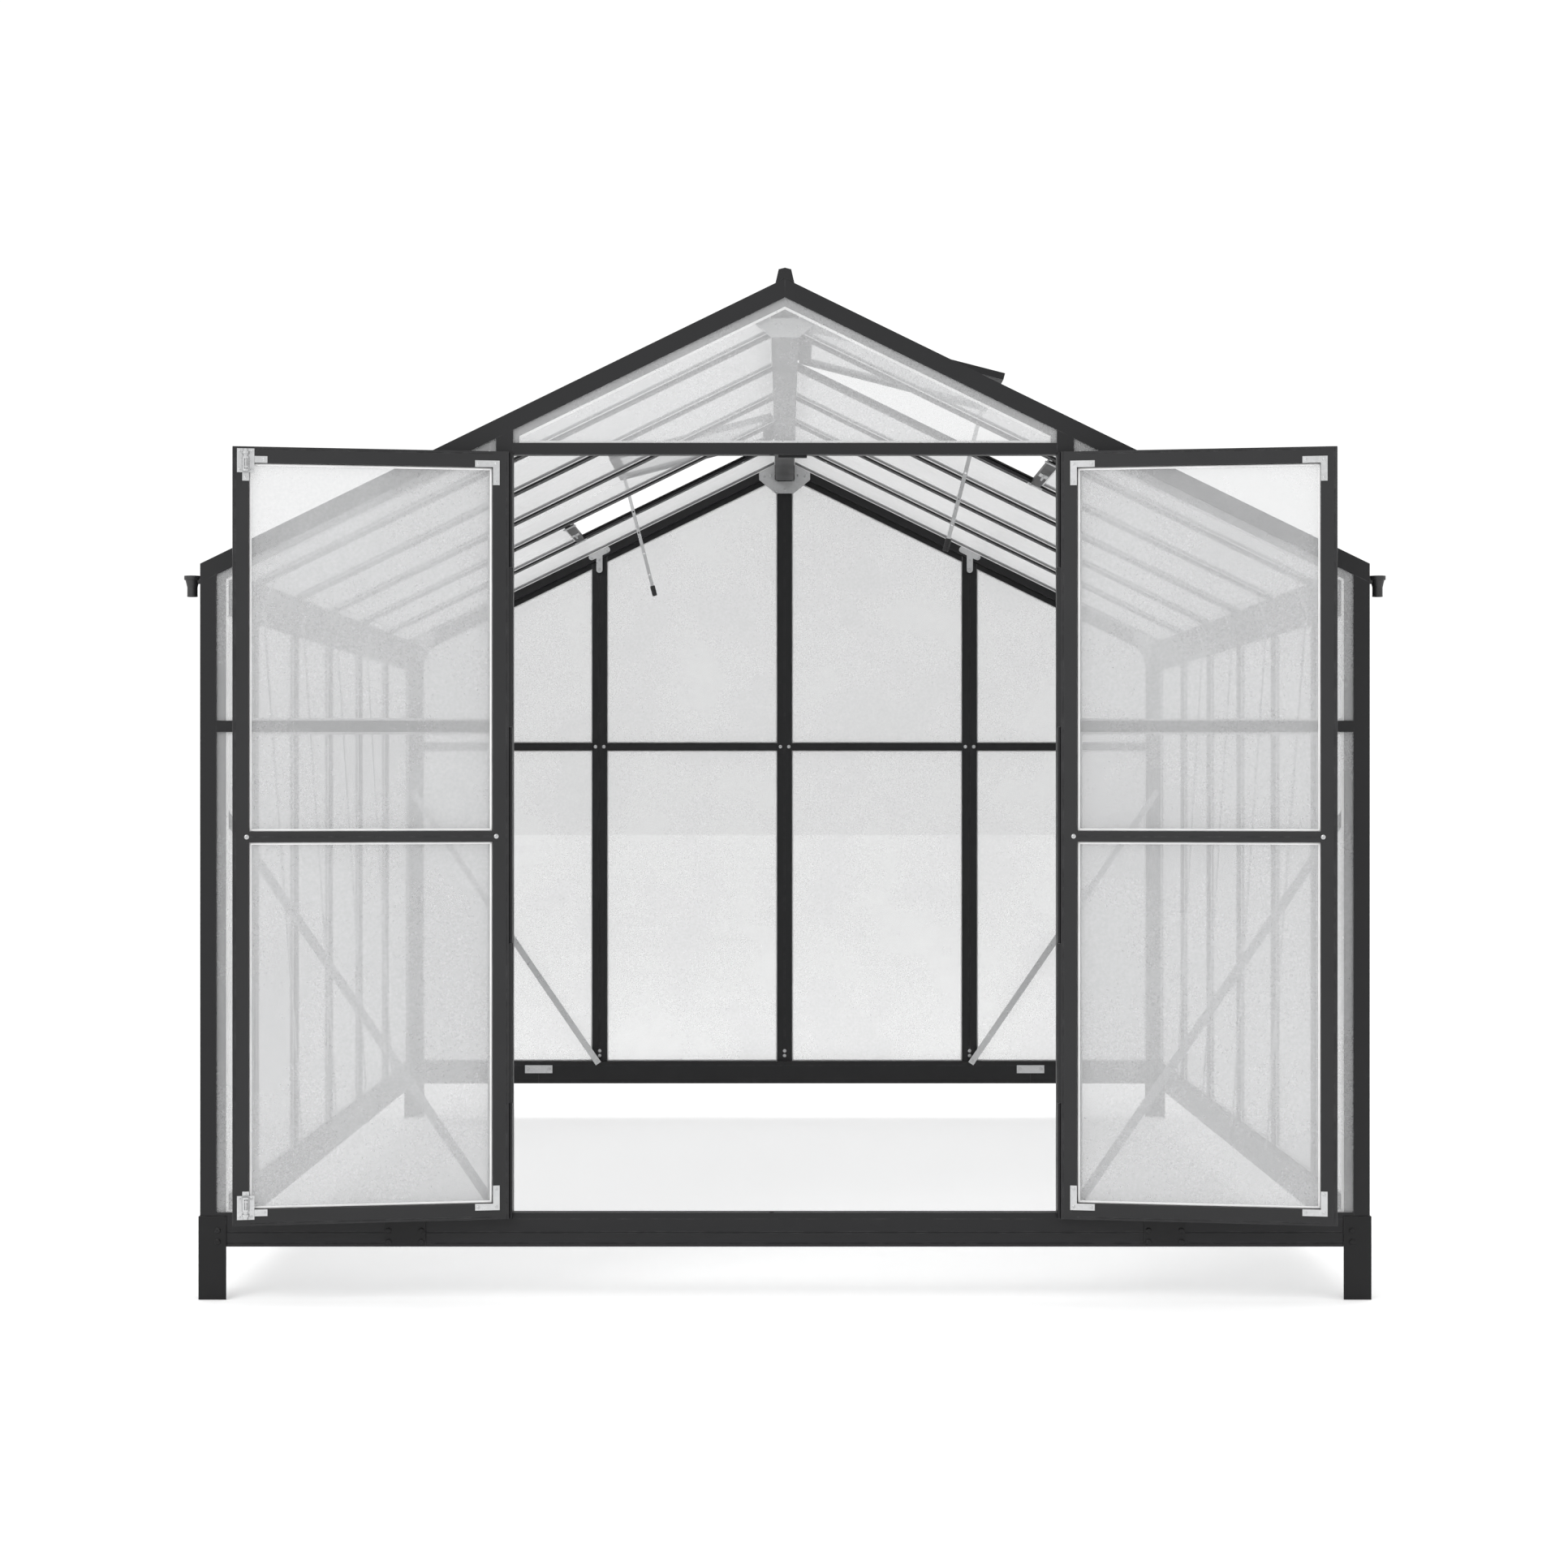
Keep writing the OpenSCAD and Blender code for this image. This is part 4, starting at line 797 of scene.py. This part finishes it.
class EaveStraps(bpy.types.Operator):
    """Plated straps that tie each rafter to its eave beam"""

    bl_idname = "greenhouse.eave_straps"
    bl_label = "Eave straps"

    def execute(self, context):
        sizes = context.scene.greenhouse_sizes
        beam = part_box("eave_beam_right")
        profile = rounded_bar(sizes.strap_width, sizes.strap_thickness)
        half = 0.5 * sizes.strap_thickness
        inner = beam[0].x - half - 0.0003
        foot = 0.020
        top_x = inner - 0.050
        low_z = beam[0].z + 0.004
        x = np.array([inner, inner, top_x + foot, top_x])
        z = roof_height(x, -0.0163 - half)
        z[:2] = low_z, low_z + foot
        # the straps stand beside the upper ends of the side braces
        lines = [((low + high) / 2)[1] - 0.0135 for low, high in solids("rafters_right")]
        patches, places = [], []
        for s in (-1, 1):
            for y in lines:
                path = np.stack([s * x, np.full(4, y), z], -1)
                patches.append(sweep(path, Y, profile))
                places.append((np.array([s * (inner - 0.001), y, low_z + 0.008]), -s * X))
        zinc = finishes()["Finish zinc"]
        build("eave_straps", patches, zinc, "frame", 30)
        build("eave_strap_screws", heads(places, 0.0045, 0.0024, 0.0007, 20), zinc, "frame", 40)
        return {"FINISHED"}


class RafterScrews(bpy.types.Operator):
    """Small screws under the rafters beside the ridge and at the crossbar cleats"""

    bl_idname = "greenhouse.rafter_screws"
    bl_label = "Rafter screws"

    def execute(self, context):
        down = np.array([math.cos(PITCH), 0, -math.sin(PITCH)])
        out = np.array([math.sin(PITCH), 0, math.cos(PITCH)])
        places = []
        for mirror in (-1, 1):
            flip = np.array([mirror, 1, 1])
            for low, high in solids("rafters_right"):
                y = ((low + high) / 2)[1]
                for s, side in ((0.062, 0.014), (0.150, -0.014), (0.70, 0.014), (1.22, -0.014)):
                    point = (np.array([0, 0, ROOF_APEX]) + s * down - 0.016 * out) * flip + (y + side) * Y
                    places.append((point, -out * flip))
        for side, mirror in (("left", -1), ("right", 1)):
            flip = np.array([mirror, 1, 1])
            middle = JOINTS[f"stay_{side}_pivot"]["pos_m"][1]
            for ds, dy in ((0, -0.027), (0, 0.027), (-0.013, -0.263), (0.013, -0.263),
                           (-0.013, 0.263), (0.013, 0.263)):
                s = 0.7095 + ds
                point = (np.array([0, 0, ROOF_APEX]) + s * down - 0.022 * out) * flip + (middle + dy) * Y
                places.append((point, -out * flip))
        patches = heads(places, 0.0042, 0.0022, 0.0007, 20)
        build("rafter_screw_heads", patches, finishes()["Finish zinc"], "frame", 40)
        return {"FINISHED"}


class StayGrips(bpy.types.Operator):
    """Ribs round the grips of the vent stays, and rivets at their pivots"""

    bl_idname = "greenhouse.stay_grips"
    bl_label = "Stay grips"

    def execute(self, context):
        for side, mirror in (("left", -1), ("right", 1)):
            pivot = np.array(JOINTS[f"stay_{side}_pivot"]["pos_m"], float)
            lean = PITCH - math.radians(-JOINTS[f"vent_{side}_hinge"]["range_deg"][0])
            way = np.array([-mirror * math.sin(lean), 0, -math.cos(lean)])
            patches = []
            for i in range(6):
                patches.append(ring(pivot + way * (0.354 + 0.0044 * i), way, 0.0070, 0.0009))
            patches.append(ring(pivot + way * 0.3795, way, 0.0058, 0.0014))
            build(f"stay_{side}_grip_ribs", patches, finishes()["Finish black plastic"],
                  f"stay_{side}")
            places = [(pivot + s * 0.005 * Y, s * Y) for s in (-1, 1)]
            build(f"vent_{side}_stay_rivets", heads(places, 0.0036, 0.0018, 0.0, 20),
                  finishes()["Finish zinc"], f"vent_{side}", 40)
        return {"FINISHED"}


class GutterEnds(bpy.types.Operator):
    """Stop ends of the gutters, and the collars of their outlets"""

    bl_idname = "greenhouse.gutter_ends"
    bl_label = "Gutter ends"

    def execute(self, context):
        patches = []
        for node, s in (("eave_beam_left", -1), ("eave_beam_right", 1)):
            low, high = (np.array(corner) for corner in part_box(node))
            outer = max(abs(low[0]), abs(high[0]))
            floor = low[2] + 0.0532
            x0, x1 = outer - 0.0248, outer - 0.0043
            for y in (low[1] + 0.0016, high[1] - 0.0016):
                path = np.array([((x0 + x1) / 2 * s, y, floor), ((x0 + x1) / 2 * s, y, floor + 0.0185)])
                patches.append(sweep(path, X, rounded_bar(x1 - x0, 0.0026)))
        plastic = finishes()["Finish black plastic"]
        build("gutter_stop_ends", patches, plastic, "frame")
        patches = []
        for low, high in solids("gutter_outlets"):
            middle = (low + high) / 2
            centre_x = np.sign(middle[0]) * (max(abs(low[0]), abs(high[0])) - 0.0175)
            for z, r in ((high[2] - 0.001, 0.0162), (high[2] - 0.008, 0.0165), (low[2] + 0.0022, 0.0106)):
                patches.append(ring(np.array([centre_x, middle[1], z]), Z, r, 0.0009, 40))
        build("outlet_rims", patches, plastic, "frame")
        return {"FINISHED"}


class SetStage(bpy.types.Operator):
    """Camera, lights, white surround and floor"""

    bl_idname = "greenhouse.set_stage"
    bl_label = "Set the stage"

    def execute(self, context):
        scene, stage = context.scene, context.scene.greenhouse_stage
        scene.view_settings.view_transform = "Standard"
        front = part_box("corner_posts")[0].y
        camera = bpy.data.objects.new("camera", bpy.data.cameras.new("camera"))
        camera.data.lens, camera.data.sensor_width = stage.lens, 36.0
        camera.data.clip_end = 200.0
        camera.location = (-0.002, front - stage.camera_distance, stage.camera_height)
        camera.rotation_euler = (math.radians(90), 0, 0)
        scene.collection.objects.link(camera)
        scene.camera = camera
        world = bpy.data.worlds.new("surround")
        scene.world = world
        world.use_nodes = True
        background = world.node_tree.nodes["Background"]
        background.inputs["Color"].default_value = (1, 1, 1, 1)
        background.inputs["Strength"].default_value = stage.surround
        self.lamp("key", (-4.5, -9.0, 6.5), (0, -1, 1.0), 5.0, 260)
        self.lamp("top", (1.0, 1.5, 8.0), (0, 0.5, 0), 6.0, 180)
        self.floor(stage)
        return {"FINISHED"}

    def lamp(self, name, place, target, size, power):
        """Square area light that looks at target."""
        light = bpy.data.lights.new(name, "AREA")
        light.size, light.energy = size, power
        lamp = bpy.data.objects.new(name, light)
        lamp.location = place
        way = Vector(target) - Vector(place)
        lamp.rotation_euler = way.to_track_quat("-Z", "Y").to_euler()
        bpy.context.scene.collection.objects.link(lamp)

    def floor(self, stage):
        """Flat floor of one quad grid, just under the stakes, with a little light of its own."""
        size = 60.0
        u, v = np.meshgrid(np.linspace(-size, size, 3), np.linspace(-size, size, 3), indexing="ij")
        points, quads = weave(np.stack([u, v, np.full_like(u, -0.0005)], -1))
        mesh = bpy.data.meshes.new("floor")
        mesh.from_pydata(points.tolist(), [], quads.tolist())
        material, tree, shader = new_material("Floor")
        tree.links.new(spread(tree, noise(tree, 0.6, 4.0), 0.3, 0.7, 0.93, 0.96), shader.inputs["Base Color"])
        shader.inputs["Roughness"].default_value = 0.9
        shader.inputs["Emission Color"].default_value = (1, 1, 1, 1)
        shader.inputs["Emission Strength"].default_value = stage.floor_glow
        mesh.materials.append(material)
        floor = bpy.data.objects.new("floor", mesh)
        bpy.context.scene.collection.objects.link(floor)


class GreenhousePanel(bpy.types.Panel):
    """Sizes, finishes and steps of the greenhouse"""

    bl_label = "Greenhouse"
    bl_idname = "VIEW3D_PT_greenhouse"
    bl_space_type = "VIEW_3D"
    bl_region_type = "UI"
    bl_category = "Greenhouse"

    def draw(self, context):
        layout = self.layout
        for settings in ("greenhouse_finishes", "greenhouse_sizes", "greenhouse_stage"):
            owner = getattr(context.scene, settings)
            box = layout.box()
            for label in owner.__annotations__:
                box.prop(owner, label)
        for step in STEPS:
            layout.operator(step.bl_idname)


def pitch_and_apex():
    """Roof pitch, given as 26 degrees, and the height of its top faces' meeting line, from the top
    of the gable rafters' box."""
    low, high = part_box("gable_rafters_front")
    pitch = math.radians(26)
    return pitch, high.z + 0.0002 * math.tan(pitch)


PITCH, ROOF_APEX = pitch_and_apex()
STEPS = (SetStage, FinishFrame, GlazingBeads, BaseBolts, FrameScrews, DoorScrews, EaveStraps,
         RafterScrews, StayGrips, GutterEnds)
SETTINGS = (GreenhouseFinishes, GreenhouseSizes, GreenhouseStage)


def register():
    for kind in (*SETTINGS, *STEPS, GreenhousePanel):
        bpy.utils.register_class(kind)
    bpy.types.Scene.greenhouse_finishes = bpy.props.PointerProperty(type=GreenhouseFinishes)
    bpy.types.Scene.greenhouse_sizes = bpy.props.PointerProperty(type=GreenhouseSizes)
    bpy.types.Scene.greenhouse_stage = bpy.props.PointerProperty(type=GreenhouseStage)


def unregister():
    del bpy.types.Scene.greenhouse_finishes
    del bpy.types.Scene.greenhouse_sizes
    del bpy.types.Scene.greenhouse_stage
    for kind in reversed((*SETTINGS, *STEPS, GreenhousePanel)):
        bpy.utils.unregister_class(kind)


def main():
    register()
    for step in STEPS:
        area, name = step.bl_idname.split(".")
        getattr(getattr(bpy.ops, area), name)()


if __name__ == "__main__":
    main()
